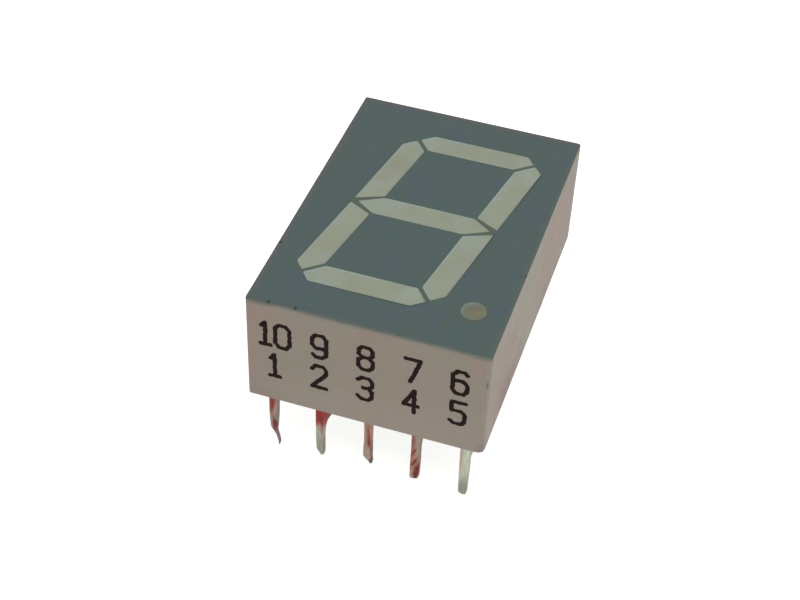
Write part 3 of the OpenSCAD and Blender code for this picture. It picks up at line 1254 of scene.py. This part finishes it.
@dataclass
class Housing:
    """The moulded housing.

    Attributes:
        frame_round: Round of its upright corners in the frame, seen from above.
        corner_round: Round that they get.
        rim_round: Round of the edges by the display face.
        foot_round: Round of the edges by the board.
        round_steps: Faces across each of these rounds.
        skin: How near to its outline a corner counts as the outline's.
        worn: How deep the lowest corner on the near right is worn.
        worn_reach: How far that wear reaches from the corner.
        worn_cuts: Where new edges let it bend, as shares of that reach.
    """

    frame_round: float = 0.25
    corner_round: float = 0.14
    rim_round: float = 0.01
    foot_round: float = 0.08
    round_steps: int = 4
    skin: float = 0.3
    worn: float = 0.1
    worn_reach: float = 0.42
    worn_cuts: Triple = (0.35, 0.7, 1.0)
    finish: MouldedPlastic = field(default_factory=MouldedPlastic)

    def build(self) -> bpy.types.Object:
        """Rounds the outer edges and dresses the housing.

        Returns:
            The housing.
        """
        low, high = corners("housing")
        piece = reworked("housing", "moulded_housing")
        joined_flats(piece, lambda face: abs(face.normal.z) < 0.01)
        for vertex in piece.data.vertices:
            x, y = tightened(vertex.co / MM, high, self.frame_round, self.corner_round)
            vertex.co.x, vertex.co.y = x * MM, y * MM
        for height, width in ((high.z, self.rim_round), (low.z, self.foot_round)):
            eased(piece, width, self.round_steps, self.on_outline(high, height))
        self.wear_corner(piece, Vector((high.x, low.y, low.z)))
        finished(piece)
        piece.data.materials.append(self.finish.material(low, high))
        return piece

    def on_outline(self, high: Vector, height: float) -> Callable[[bmesh.types.BMEdge], bool]:
        """Makes a test for the sharp edges of the outline at a height.

        Args:
            high: The housing's highest corner.
            height: The height.

        Returns:
            The test.
        """
        return lambda edge: edge.calc_face_angle(0.0) > SHARP and all(
            abs(v.co.z / MM - height) < LOOSE
            and (abs(v.co.x / MM) > high.x - self.skin or abs(v.co.y / MM) > high.y - self.skin)
            for v in edge.verts
        )

    def wear_corner(self, piece: bpy.types.Object, corner: Vector) -> None:
        """Rubs down the lowest corner on the near right, and leaves the faces around it flat.

        Args:
            piece: The housing, in object mode.
            corner: The corner, in millimetres.
        """
        inwards = Vector((-1, 1, 1))
        with editing(piece):
            for share in self.worn_cuts:
                for axis in (2, 0, 1):
                    way = Vector((0, 0, 0))
                    way[axis] = 1
                    cut_across(corner + way * inwards[axis] * share * self.worn_reach, way)
            with opened(piece) as mesh:
                for vertex in mesh.verts:
                    near = 1 - (vertex.co / MM - corner).length / self.worn_reach
                    if near > 0:
                        vertex.co += inwards.normalized() * self.worn * near * near * MM


@dataclass
class FaceCoating:
    """The paint film on the display face.

    Attributes:
        overlap: How far the film's outer edge stands in from the sides of the housing.
        frame_round: Round of its corners in the frame, seen from above.
        corner_round: Round that they get.
        waviness: How far its outer edge wanders.
        waves: How often each wave of that edge swings, its seed and its share.
        notches: Place along the right edge, half length and depth of each chipped spot.
        edge_round: Round of the film's upper edges.
        rim: Width of the band of painted shade around the windows.
        rim_darkness: Strength of that painted shade, all around and on the side that the light
            leaves dark.
        dark_side: The way to that side, from the window's edge to its middle.
        window_round: Round of the windows' corners.
        spacing: Distance between the points of its outer edge.
        border: Width of the zone along its outline that no window reaches.
        long: Length past which an edge in that zone is a side of the film.
    """

    overlap: float = 0.012
    frame_round: float = 0.35
    corner_round: float = 0.13
    waviness: float = 0.016
    waves: tuple[Triple, ...] = ((1.3, 0.0, 0.6), (6.0, 5.0, 0.4))
    notches: tuple[Triple, ...] = ((-2.75, 0.22, 0.05), (4.9, 0.3, 0.02))
    edge_round: float = 0.028
    rim: float = 0.06
    rim_darkness: tuple[float, float] = (0.45, 0.75)
    dark_side: Triple = (-0.7, 0.7, 0.0)
    window_round: float = 0.06
    spacing: float = 0.12
    border: float = 0.4
    long: float = 1.0
    finish: FacePaint = field(default_factory=FacePaint)

    def build(self) -> bpy.types.Object:
        """Roughens the film's outer edge, rounds its upper edges and dresses it.

        Returns:
            The film.
        """
        low, high = corners("face_coating")
        piece = reworked("face_coating", "painted_face")
        SegmentBars().narrow(piece)
        thickness = high.z - low.z
        eased(
            piece, self.window_round, 3,
            lambda edge: abs(edge.verts[0].co.z - edge.verts[1].co.z) / MM > thickness / 2
            and not self.by_outline(edge.verts[0], high)
            and edge.calc_face_angle(0.0) > SLIGHT,
        )
        self.roughen_outline(piece, high)
        eased(
            piece, self.edge_round, 2,
            lambda edge: all(abs(v.co.z / MM - high.z) < 2 * TIGHT for v in edge.verts)
            and edge.calc_face_angle(0.0) > SHARP,
        )
        self.shade_rims(piece, high)
        finished(piece, angle=50)
        point = sum(ResinCasting.chips()[-1], Vector()) / 2
        bars = SegmentBars().runs("face_coating")
        piece.data.materials.append(self.finish.material(low, high, point, bars))
        return piece

    def by_outline(self, vertex: bmesh.types.BMVert, high: Vector) -> bool:
        """Tells whether a point lies in the zone along the outline."""
        place = vertex.co / MM
        return abs(place.x) > high.x - self.border or abs(place.y) > high.y - self.border

    def roughen_outline(self, piece: bpy.types.Object, high: Vector) -> None:
        """Gives the long outer edges many points, and spreads them to the housing's outline.

        Args:
            piece: The film, in object mode.
            high: Highest corner of the frame's film, in millimetres.
        """
        outside = corners("housing")[1]
        with editing(piece):
            pick(
                piece, Element.EDGES,
                lambda edge: all(self.by_outline(v, high) for v in edge.verts)
                and edge.calc_length() / MM > self.long,
            )
            bpy.ops.mesh.subdivide(number_cuts=int(2 * high.y / self.spacing))
            with opened(piece) as mesh:
                for vertex in mesh.verts:
                    if self.by_outline(vertex, high):
                        self.spread(vertex, high, outside)

    def spread(self, vertex: bmesh.types.BMVert, high: Vector, outside: Vector) -> None:
        """Moves a point near the film's outline out to the housing's, a little unevenly.

        Args:
            vertex: The point.
            high: Highest corner of the frame's film, in millimetres.
            outside: The housing's highest corner.
        """
        place = vertex.co / MM
        wave = sum(
            noise.noise(Vector((place.x, place.y, seed)) * often) * share
            for often, seed, share in self.waves
        )
        inward = self.overlap + self.waviness * (0.5 + 0.5 * wave)
        for middle, half, depth in self.notches:
            near = 1 - abs(place.y - middle) / half
            if place.x > high.x - self.border and near > 0:
                inward += depth * near
        flat = Vector((abs(place.x), abs(place.y)))
        inner = Vector((high.x - self.frame_round, high.y - self.frame_round))
        if flat.x > inner.x + TIGHT and flat.y > inner.y + TIGHT:
            turned = (flat - inner) / self.frame_round
            centre = Vector((outside.x - self.corner_round, outside.y - self.corner_round))
            flat = centre + turned * (self.corner_round - inward)
        elif flat.x > inner.x:
            flat.x += outside.x - high.x - inward
        elif flat.y > inner.y:
            flat.y += outside.y - high.y - inward
        vertex.co.x = math.copysign(flat.x, place.x) * MM
        vertex.co.y = math.copysign(flat.y, place.y) * MM

    def shade_rims(self, piece: bpy.types.Object, high: Vector) -> None:
        """Marks a band around the windows, for the finish to darken with painted shade.

        Args:
            piece: The film, in object mode.
            high: Highest corner of the frame's film, in millimetres.
        """
        even, extra = self.rim_darkness
        with editing(piece):
            pick(piece, Element.FACES, sheets_at(high.z, 1))
            terraced(((self.rim, 0.0),))
            with opened(piece) as mesh:
                layer = mesh.verts.layers.float.new(RIM)
                for vertex in mesh.verts:
                    top = vertex.co.z / MM > high.z - LOOSE
                    if vertex.select or not top or self.by_outline(vertex, high):
                        continue
                    walls = [f.normal for f in vertex.link_faces if abs(f.normal.z) < 0.9]
                    way = sum(walls, Vector()).normalized()
                    # Painted shade is strongest on the side that the light leaves dark
                    vertex[layer] = even + extra * max(way.dot(Vector(self.dark_side)), 0.0)


@dataclass
class ResinCasting:
    """The resin that fills the housing.

    Attributes:
        sink: How far the resin stands below the face where it meets the film.
        dish: Width and depth of each step towards the middle of a window.
        fillet: Width and depth of each step away from the walls and the pins at the back.
    """

    sink: float = 0.014
    dish: tuple[tuple[float, float], ...] = ((0.03, 0.012), (0.05, 0.012), (0.07, 0.009))
    fillet: tuple[tuple[float, float], ...] = ((0.035, 0.05), (0.045, 0.03), (0.06, 0.015))
    finish: CastResin = field(default_factory=CastResin)

    def build(self) -> bpy.types.Object:
        """Dishes the windows, draws the back up its walls and dresses the resin.

        Returns:
            The resin.
        """
        low, high = corners("resin_fill")
        piece = reworked("resin_fill", "cast_resin")
        SegmentBars().narrow(piece)
        with editing(piece):
            pick(piece, Element.FACES, sheets_at(high.z, 1))
            bpy.ops.transform.translate(value=(0, 0, -self.sink * MM))
            terraced(self.dish)
            pick(piece, Element.FACES, sheets_at(low.z, -1))
            terraced(self.fillet)
        finished(piece, angle=40)
        piece.data.materials.append(self.finish.material(self.chips()))
        return piece

    @staticmethod
    def chips() -> list[tuple[Vector, Vector]]:
        """Finds the chips and their wires.

        Returns:
            Each chip's middle and the far end of its wire, in millimetres, the point's last.
        """
        found: list[tuple[Vector, Vector]] = []
        for name in ("a", "b", "c", "d", "e", "f", "g", "dp"):
            chip = sum(corners(f"die_{name}"), Vector()) / 2
            wire = sum(corners(f"wire_{name}"), Vector()) / 2
            found.append((chip, wire * 2 - chip))
        return found


@dataclass(frozen=True)
class Pin:
    """A pin of the lower row, or a clean one of the upper row.

    Attributes:
        column: Place across the display.
        pin_marks: Its red, pink and pale streaks.
        bends: Height, and how far its left and its right edge stand to the right of true there.
        tip_round: Round of its tip's corners, or 0 where they are sharp.
        burr: How far a burr stands out on its right, where a bar was sheared off, and how far
            below the underside it is widest and ends.
        tip: How much lower the left and the right side of its tip stand than the frame's.
    """

    column: float
    pin_marks: PinMarks = PinMarks.CLEAN
    bends: tuple[Triple, ...] = ((-0.5, 0.0, 0.0), (-2.5, 0.012, 0.0), (-4.4, 0.03, -0.012))
    tip_round: float = 0.06
    burr: Triple | None = None
    tip: tuple[float, float] = (0.0, 0.0)

    def side(self, place: Vector) -> float:
        """Tells where a point of the pin is between its left edge at 0 and its right one at 1."""
        return min(max((place.x - self.column) / PIN_WIDTH + 0.5, 0.0), 1.0)

    def bend(self, place: Vector) -> float:
        """Tells how far a point of the pin stands to the right of true.

        Args:
            place: The point, in millimetres.

        Returns:
            The distance.
        """
        side = self.side(place)
        above = self.bends[0]
        for below in self.bends[1:]:
            if place.z > below[0]:
                break
            above = below
        else:
            below = self.bends[-1]
        span = above[0] - below[0]
        share = min(max((above[0] - place.z) / span, 0.0), 1.0) if span else 0.0
        left, right = (above[i] + (below[i] - above[i]) * share for i in (1, 2))
        return left + (right - left) * side


@dataclass
class LeadFrame:
    """The stamped leads with their pins.

    Attributes:
        edge_round: Round of the sheet's edges.
        pitch: Distance between pins.
        flats: Height below which the flats of a lead are joined.
        top: Height below which an edge is rounded as one of a leg.
        inside: Distance from the middle past which such an edge lies.
        fold: Angle between two faces of a leg past which their edge is rounded, in radians.
        row_depth: How far in from a row's outer face a point may stand and belong to a leg.
        seat: Height below which a point of a leg moves as the leg bends.
        cuts: Heights at which a pin may bend.
        tips: Height below which an edge may be a corner of the tip.
        tip_height: Height below which a point belongs to the tip.
        sliver: Longest edge of a tip that is too short to keep.
        sliver_top: Height below which such an edge is looked for.
        shoulder: Heights of the middle and the foot of a leg's wide upper part, and how far right
            of its middle line that part begins.
        burr_curve: Power by which a burr thins out from the pin.
        drift: How much further left each next pin of the lower row stands than the one before.
        clipped: Length of the lower row's pins, as a share of the upper row's.
    """

    edge_round: float = 0.02
    pitch: float = 2.54
    flats: float = 0.1
    top: float = 0.05
    inside: float = 7.3
    fold: float = 0.8
    row_depth: float = 0.3
    seat: float = -0.05
    cuts: tuple[float, ...] = (-0.9, -1.4, -1.9, -2.4, -2.8, -3.1, -3.35, -3.5, -3.65, -3.85, -4.12)
    tips: float = -3.25
    tip_height: float = -3.87
    sliver: float = 0.03
    sliver_top: float = -3.3
    shoulder: Triple = (-0.3, -0.6, 0.2)
    burr_curve: float = 1.8
    drift: float = 0.026
    clipped: float = 0.972
    finish: DullTin = field(default_factory=DullTin)

    def pins(self) -> dict[str, Pin]:
        """Gives the pin that each lead has in the lower row, or its clean pin in the upper one.

        Returns:
            The pins, by the names of their leads.
        """
        return {
            "lead_e": Pin(
                -2 * self.pitch, PinMarks.FIRST,
                ((-0.5, 0.036, 0.03), (-1.9, 0.027, 0.014), (-2.6, 0.05, -0.018),
                 (-3.1, 0.085, -0.06), (-3.35, 0.17, -0.088), (-3.5, 0.27, -0.08),
                 (-3.65, 0.345, -0.056), (-3.85, 0.38, -0.01), (-4.12, 0.42, 0.05),
                 (-4.4, 0.46, 0.045)),
                0.0, tip=(0.07, 0.07),
            ),
            "lead_d": Pin(
                -self.pitch, PinMarks.SECOND,
                ((-0.5, 0.0, 0.0), (-2.0, 0.0, -0.01), (-2.8, 0.01, -0.05), (-4.4, 0.06, -0.04)),
                0.06, (0.37, 1.0, 2.35),
            ),
            "common_lead": Pin(
                0.0, PinMarks.THIRD,
                ((-0.5, 0.0, 0.0), (-1.4, 0.04, -0.04), (-2.4, 0.05, -0.04), (-2.9, 0.02, -0.03),
                 (-3.4, 0.02, -0.03), (-3.5, -0.041, -0.03), (-3.65, -0.02, -0.02),
                 (-3.85, 0.13, 0.0), (-4.0, 0.08, 0.02)),
                0.04,
            ),
            "lead_c": Pin(
                self.pitch, PinMarks.FOURTH,
                ((-0.5, -0.03, 0.02), (-1.4, -0.02, 0.0), (-2.0, -0.01, -0.04),
                 (-2.8, -0.02, -0.02), (-3.2, -0.03, -0.03), (-4.15, -0.02, -0.06)),
                0.05, (0.12, 0.89, 1.35), (0.11, 0.0),
            ),
            "lead_dp": Pin(
                2 * self.pitch, PinMarks.FIFTH,
                ((-0.5, -0.05, -0.02), (-2.8, -0.02, -0.02), (-4.4, 0.02, -0.05)),
                0.06, (0.19, 0.89, 1.5),
            ),
            "lead_g": Pin(-2 * self.pitch),
            "lead_f": Pin(-self.pitch),
            "lead_a": Pin(self.pitch),
            "lead_b": Pin(
                2 * self.pitch, bends=((-0.5, 0.0, 0.0), (-2.0, -0.02, -0.03), (-4.4, -0.11, -0.15))
            ),
        }

    def build(self) -> list[bpy.types.Object]:
        """Bends, rounds and dresses each lead."""
        return [self.lead(node, pin) for node, pin in self.pins().items()]

    def lead(self, node: str, pin: Pin) -> bpy.types.Object:
        """Shapes the legs of one lead and dresses it.

        Args:
            node: The lead's name in the frame.
            pin: Its pin.

        Returns:
            The lead.
        """
        piece = reworked(node, node.replace("lead", "tinned_lead"))
        joined_flats(piece, lambda face: face.calc_center_median().z / MM < self.flats)
        self.shape_legs(piece, pin)
        if pin.tip_round:
            eased(piece, pin.tip_round, 3, self.is_tip_corner, limited=False)
        eased(piece, self.edge_round, 3, self.is_leg_edge, limited=False)
        finished(piece)
        column = pin.column - self.drifted(pin)
        piece.data.materials.append(
            self.finish.material(f"dull_tin_{node}", column, pin.pin_marks)
        )
        return piece

    def is_tip_corner(self, edge: bmesh.types.BMEdge) -> bool:
        """Tells whether an edge runs through the sheet at a corner of a tip.

        Args:
            edge: The edge.

        Returns:
            Whether it does.
        """
        first, second = (v.co / MM for v in edge.verts)
        return (
            max(first.z, second.z) < self.tips
            and abs(first.x - second.x) < TIGHT
            and abs(first.z - second.z) < TIGHT
            and edge.calc_face_angle(0.0) > SLIGHT
        )

    def is_leg_edge(self, edge: bmesh.types.BMEdge) -> bool:
        """Tells whether an edge is a sharp one of a leg.

        Args:
            edge: The edge.

        Returns:
            Whether it is.
        """
        first, second = (v.co / MM for v in edge.verts)
        return (
            min(first.z, second.z) < self.top
            and min(abs(first.y), abs(second.y)) > self.inside
            and edge.calc_face_angle(0.0) > self.fold
        )

    def drifted(self, pin: Pin) -> float:
        """Tells how far left of true a pin of the lower row stands."""
        return self.drift * (pin.column / self.pitch + 2)

    def shape_legs(self, piece: bpy.types.Object, pin: Pin) -> None:
        """Gives the lower leg of a lead its burr, and bends both of its legs.

        Args:
            piece: The lead, in object mode.
            pin: Its pin.
        """
        with editing(piece):
            pick(piece, Element.VERTICES, lambda vertex: vertex.co.z / MM < self.sliver_top)
            bpy.ops.mesh.remove_doubles(threshold=self.sliver * MM)
            with opened(piece) as mesh:
                for vertex in mesh.verts:
                    self.leave_burr(vertex, pin)
            for height in self.cuts:
                cut_across((0.0, 0.0, height), (0, 0, 1))
            with opened(piece) as mesh:
                for vertex in mesh.verts:
                    self.bend_leg(vertex, pin)

    def leave_burr(self, vertex: bmesh.types.BMVert, pin: Pin) -> None:
        """Widens and lowers the right-hand shoulder of the lower leg, where a bar was.

        Args:
            vertex: A point of the lead.
            pin: Its pin.
        """
        place = vertex.co / MM
        middle, foot, right = self.shoulder
        if pin.burr is None or place.y > self.row_depth - ROWS:
            return
        if not foot < place.z < self.seat or place.x < pin.column + right:
            return
        reach, widest, end = pin.burr
        if place.z > middle:
            vertex.co.x = (pin.column + PIN_WIDTH / 2 + reach) * MM
            vertex.co.z = -widest * MM
        else:
            vertex.co.z = -end * MM

    def bend_leg(self, vertex: bmesh.types.BMVert, pin: Pin) -> None:
        """Moves a point of a leg to its bent place, and shortens the lower leg.

        Args:
            vertex: A point of the lead.
            pin: Its pin.
        """
        place = vertex.co / MM
        if place.z > self.seat or abs(place.y) < ROWS - self.row_depth:
            return
        lower = place.y < 0
        bent = pin if lower or pin.pin_marks is PinMarks.CLEAN else Pin(pin.column)
        shift = bent.bend(place)
        if lower:
            out = place.x - pin.column - PIN_WIDTH / 2
            if pin.burr and out > 0:
                shift -= out - pin.burr[0] * (out / pin.burr[0]) ** self.burr_curve
            shift -= self.drifted(pin)
            if place.z < self.tip_height:
                left, right = pin.tip
                vertex.co.z -= (left + (right - left) * pin.side(place)) * MM
            vertex.co.z *= self.clipped
        vertex.co.x += shift * MM


@dataclass
class ChipSet:
    """The chips and the bond wires, which keep the frame's shapes."""

    crystal: LedCrystal = field(default_factory=LedCrystal)
    gold: DrawnGold = field(default_factory=DrawnGold)

    def dress(self, nodes: dict[str, bpy.types.Object]) -> int:
        """Dresses each chip and each wire.

        Args:
            nodes: The frame's solids, by their names.

        Returns:
            How many were dressed.
        """
        gold = self.gold.material()
        count = 0
        for name, node in sorted(nodes.items()):
            if name.startswith("die_"):
                low, high = corners(name)
                top = Vector(((low.x + high.x) / 2, (low.y + high.y) / 2, high.z))
                node.material_slots[0].material = self.crystal.material(f"crystal_{name}", top)
            elif name.startswith("wire_"):
                node.material_slots[0].material = gold
            else:
                continue
            count += 1
        return count


Stroke = tuple[tuple[float, float], ...]

# The steps across and up a digit, and each digit as a pen draws it, in steps from its lower left
GRID = (4, 8)
DIGITS: dict[str, tuple[Stroke, ...]] = {
    "0": (((1, 0), (0, 1.3), (0, 6.7), (1, 8), (3, 8), (4, 6.7), (4, 1.3), (3, 0), (1, 0)),),
    "1": (((1, 6.5), (2.2, 8), (2.2, 0)), ((0.8, 0), (3.6, 0))),
    "2": (((0, 6.6), (1, 8), (3, 8), (4, 6.8), (4, 5.4), (0, 0), (4, 0)),),
    "3": (
        ((0, 7), (1, 8), (3, 8), (4, 7), (4, 5.2), (3, 4.2), (4, 3.2), (4, 1.1), (3, 0), (1, 0),
         (0, 1)),
        ((1.5, 4.2), (3, 4.2)),
    ),
    "4": (((2.9, 0), (2.9, 8), (0, 2.4), (4, 2.4)),),
    "5": (
        ((3.9, 8), (0.2, 8), (0.2, 4.8), (3, 4.8), (4, 3.7), (4, 1.2), (3, 0), (1, 0), (0, 0.9)),
    ),
    "6": (
        ((3.8, 7.2), (3, 8), (1.2, 8), (0, 6.6), (0, 1.3), (1, 0), (3, 0), (4, 1.2), (4, 3.5),
         (3, 4.7), (1, 4.7), (0, 3.8)),
    ),
    "7": (((0, 8), (4, 8), (4, 7.4), (1.6, 0)),),
    "8": (
        ((1.1, 4.3), (0.1, 5.3), (0.1, 7), (1.1, 8), (2.9, 8), (3.9, 7), (3.9, 5.3), (2.9, 4.3),
         (4, 3.2), (4, 1.1), (3, 0), (1, 0), (0, 1.1), (0, 3.2), (1.1, 4.3), (2.9, 4.3)),
    ),
    "9": (
        ((0.2, 0.8), (1, 0), (2.8, 0), (4, 1.4), (4, 6.7), (3, 8), (1, 8), (0, 6.8), (0, 4.5),
         (1, 3.3), (3, 3.3), (4, 4.2)),
    ),
}


@dataclass
class PinNumbers:
    """Plain numbers in ink on the near side, one for each pin of both rows.

    Attributes:
        rows: Height of each row's foot above the underside, and its numbers from the left.
        pitch: Distance between the numbers of a row.
        letter: Distance between the digits of a number.
        across: A step across a digit.
        upright: A step up a digit.
        pen: Width of a stroke.
        uneven: How much that width varies, as a share of it.
        wobbles: How often it varies along a millimetre.
        film: Thickness of the ink above the plastic.
        cell: Size of the faces it is made of.
    """

    rows: tuple[tuple[float, tuple[str, ...]], ...] = (
        (3.62, ("10", "9", "8", "7", "6")),
        (1.62, ("1", "2", "3", "4", "5")),
    )
    pitch: float = 2.3
    letter: float = 0.9
    across: float = 0.178
    upright: float = 0.178
    pen: float = 0.22
    uneven: float = 0.34
    wobbles: float = 5.0
    film: float = 0.008
    cell: float = 0.04
    ink: StampInk = field(default_factory=StampInk)

    def build(self) -> bpy.types.Object:
        """Prints each number and joins them into one piece.

        Returns:
            The numbers.
        """
        printed: list[bpy.types.Object] = []
        for foot, numbers in self.rows:
            for index, number in enumerate(numbers):
                middle = (index - (len(numbers) - 1) / 2) * self.pitch
                for place, digit in enumerate(number):
                    shift = (place - (len(number) - 1) / 2) * self.letter
                    printed.append(self.print_digit(digit, middle + shift, foot))
        work_on(printed[0])
        for digit in printed:
            digit.select_set(True)
        bpy.ops.object.join()
        piece = bpy.context.view_layer.objects.active
        piece.name = piece.data.name = "pin_numbers"
        applied(piece, "SOLIDIFY", thickness=2 * self.film * MM, offset=0.0)
        finished(piece, angle=60)
        piece.data.materials.clear()
        piece.data.materials.append(self.ink.material())
        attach(piece, BODY)
        return piece

    def print_digit(self, digit: str, middle: float, foot: float) -> bpy.types.Object:
        """Cuts one digit out of a sheet that lies in the near side.

        Args:
            digit: The digit.
            middle: Its middle across the display.
            foot: Height of the pen's line at its foot.

        Returns:
            The flat digit, which faces outwards.
        """
        side = corners("housing")[0].y
        wide, tall = GRID[0] * self.across, GRID[1] * self.upright
        strokes = [
            [
                Vector((middle + (x - GRID[0] / 2) * self.across, foot + y * self.upright))
                for x, y in stroke
            ]
            for stroke in DIGITS[digit]
        ]
        # All around, the sheet reaches past the pen's lines by more than half a stroke
        width, height = wide + 1.5 * self.pen, tall + 1.5 * self.pen
        bpy.ops.mesh.primitive_grid_add(
            x_subdivisions=round(width / self.cell),
            y_subdivisions=round(height / self.cell),
            size=1,
        )
        sheet = bpy.context.object
        sheet.data.transform(
            Matrix.Translation(Vector((middle, side, foot + tall / 2)) * MM)
            @ Matrix.Rotation(math.radians(90), 4, "X")
            @ Matrix.Diagonal((width * MM, height * MM, 1, 1))
        )
        with editing(sheet):
            pick(
                sheet, Element.FACES,
                lambda face: self.from_ink(face.calc_center_median(), strokes)[0] > 0,
            )
            bpy.ops.mesh.delete(type="FACE")
            with opened(sheet) as mesh:
                for vertex in mesh.verts:
                    if vertex.is_boundary:
                        beyond, way = self.from_ink(vertex.co, strokes)
                        vertex.co -= Vector((way.x, 0, way.y)) * beyond * MM
        return sheet

    def from_ink(self, point: Vector, strokes: list[list[Vector]]) -> tuple[float, Vector]:
        """Tells how far a point of the sheet lies outside the ink, and which way.

        Args:
            point: The point, in metres.
            strokes: The pen's lines on the sheet, in millimetres.

        Returns:
            The distance, which is below 0 inside the ink, and the way from the nearest line.
        """
        place = Vector((point.x, point.z)) / MM
        nearest = min(
            (
                self.nearest_on(place, start, end)
                for line in strokes
                for start, end in zip(line, line[1:])
            ),
            key=lambda found: (place - found).length,
        )
        away = place - nearest
        wobble = noise.noise(Vector((place.x, 0.0, place.y)) * self.wobbles)
        return away.length - self.pen / 2 * (1 + self.uneven * wobble), away.normalized()

    @staticmethod
    def nearest_on(place: Vector, start: Vector, end: Vector) -> Vector:
        """Gives the point of a straight line between two ends that is nearest to a place.

        Args:
            place: The place.
            start: One end of the line.
            end: Its other end.

        Returns:
            The point.
        """
        run = end - start
        share = min(max((place - start).dot(run) / run.length_squared, 0.0), 1.0)
        return start + run * share


# ---------------------------------------------------------------------------------------------
# Studio
# ---------------------------------------------------------------------------------------------


@dataclass
class Studio:
    """Camera, lamps, backdrop and floor.

    Attributes:
        eye: Place of the camera.
        aim: The point that it looks at.
        roll: Its turn, in degrees, that tips the view's right side up.
        lens: Its focal length.
        sensor: Width of its sensor.
        view: Nearest and furthest distance that it sees.
        floor_size: Side of the floor.
        floor_gap: How far the floor lies below the pins.
        floor_colour: Its colour.
        floor_glow: How much light it adds of its own, where it is seen directly.
        fill: Level of the light from all around.
        key: Level of the light from the lamp on the right.
        key_way: Direction of that lamp, seen from the display.
        key_distance: Its distance from the display.
        key_size: Its width.
    """

    eye: Triple = (16.145, -58.264, 55.787)
    aim: Triple = (-0.124, -2.987, 3.167)
    roll: float = 2.694
    lens: float = 70.8
    sensor: float = 36.0
    view: tuple[float, float] = (1.0, 10000.0)
    floor_size: float = 900.0
    floor_gap: float = 0.002
    floor_colour: Colour = tone(232, 232, 231)
    floor_glow: float = 0.72
    fill: float = 0.52
    key: float = 0.38
    key_way: Triple = (0.14, -0.28, 0.95)
    key_distance: float = 150.0
    key_size: float = 110.0

    def build(self) -> None:
        """Sets up all of the studio."""
        bpy.context.scene.view_settings.view_transform = "Standard"
        self.set_camera()
        self.set_backdrop()
        self.set_lamp()
        self.set_floor()

    @staticmethod
    def hung(name: str, data: bpy.types.ID, at: Vector, turn: Matrix) -> bpy.types.Object:
        """Places a camera or a lamp.

        Args:
            name: Its name.
            data: Its data.
            at: Its place, in metres.
            turn: Its turn, as three columns.

        Returns:
            Its object.
        """
        made = bpy.data.objects.new(name, data)
        bpy.context.scene.collection.objects.link(made)
        made.matrix_world = Matrix.Translation(at) @ turn.to_4x4()
        return made

    def set_camera(self) -> None:
        """Places the camera."""
        data = bpy.data.cameras.new("camera")
        data.lens = self.lens
        data.sensor_width = self.sensor
        data.clip_start, data.clip_end = (distance * MM for distance in self.view)
        back = (Vector(self.eye) - Vector(self.aim)).normalized()
        level = Vector((0, 0, 1)).cross(back).normalized()
        right = Matrix.Rotation(math.radians(self.roll), 3, back) @ level
        turn = Matrix((right, back.cross(right), back)).transposed()
        bpy.context.scene.camera = self.hung("camera", data, Vector(self.eye) * MM, turn)

    def set_backdrop(self) -> None:
        """Surrounds the scene with plain light, white to the camera and in reflections."""
        world = bpy.data.worlds.new("backdrop")
        bpy.context.scene.world = world
        g = Nodes(world)
        fed = {"A": self.fill, "B": 1.0, "Factor": g.seen_directly()}
        level = g.node("ShaderNodeMix", fed).outputs["Result"]
        light = g.node("ShaderNodeBackground", {"Color": (1, 1, 1, 1), "Strength": level})
        g.node("ShaderNodeOutputWorld", {"Surface": light.outputs[0]})

    def set_lamp(self) -> None:
        """Hangs one broad lamp on the right."""
        distance = self.key_distance * MM
        data = bpy.data.lights.new("key_lamp", "AREA")
        data.shape = "DISK"
        data.size = self.key_size * MM
        # A lamp of this power lights a face that is turned to it to the level that is wanted
        data.energy = self.key * math.pi * math.pi * distance * distance
        way = Vector(self.key_way).normalized()
        turn = way.to_track_quat("Z", "Y").to_matrix()
        self.hung("key_lamp", data, way * distance, turn)

    def set_floor(self) -> None:
        """Lays a plain pale floor under the pins."""
        height = corners("common_lead")[0].z - self.floor_gap
        bpy.ops.mesh.primitive_plane_add(
            size=self.floor_size * MM, location=(0, 0, height * MM)
        )
        floor = bpy.context.object
        floor.name = "floor"
        bpy.ops.object.transform_apply(location=True, rotation=True, scale=True)
        material = bpy.data.materials.new("pale_floor")
        g = Nodes(material)
        matt = g.node("ShaderNodeBsdfDiffuse", {"Color": self.floor_colour})
        glow = g.node(
            "ShaderNodeEmission",
            {"Color": (*[self.floor_glow] * 3, 1), "Strength": g.seen_directly()},
        )
        both = g.node("ShaderNodeAddShader", {0: matt.outputs[0], 1: glow.outputs[0]})
        g.node("ShaderNodeOutputMaterial", {"Surface": both.outputs[0]})
        floor.data.materials.append(material)


def main() -> None:
    """Builds the display piece by piece and reports each one."""
    logging.basicConfig(level=logging.INFO, format="%(message)s")
    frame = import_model()
    bpy.ops.object.select_all(action="DESELECT")
    Studio().build()
    log.info("studio: camera, backdrop, lamp and floor")
    for part in (Housing(), FaceCoating(), ResinCasting(), PinNumbers()):
        piece = part.build()
        log.info("%s: %d faces", piece.name, len(piece.data.polygons))
    for piece in LeadFrame().build():
        log.info("%s: %d faces", piece.name, len(piece.data.polygons))
    log.info("chips and wires: %d dressed", ChipSet().dress(frame["nodes"]))


if __name__ == "__main__":
    main()
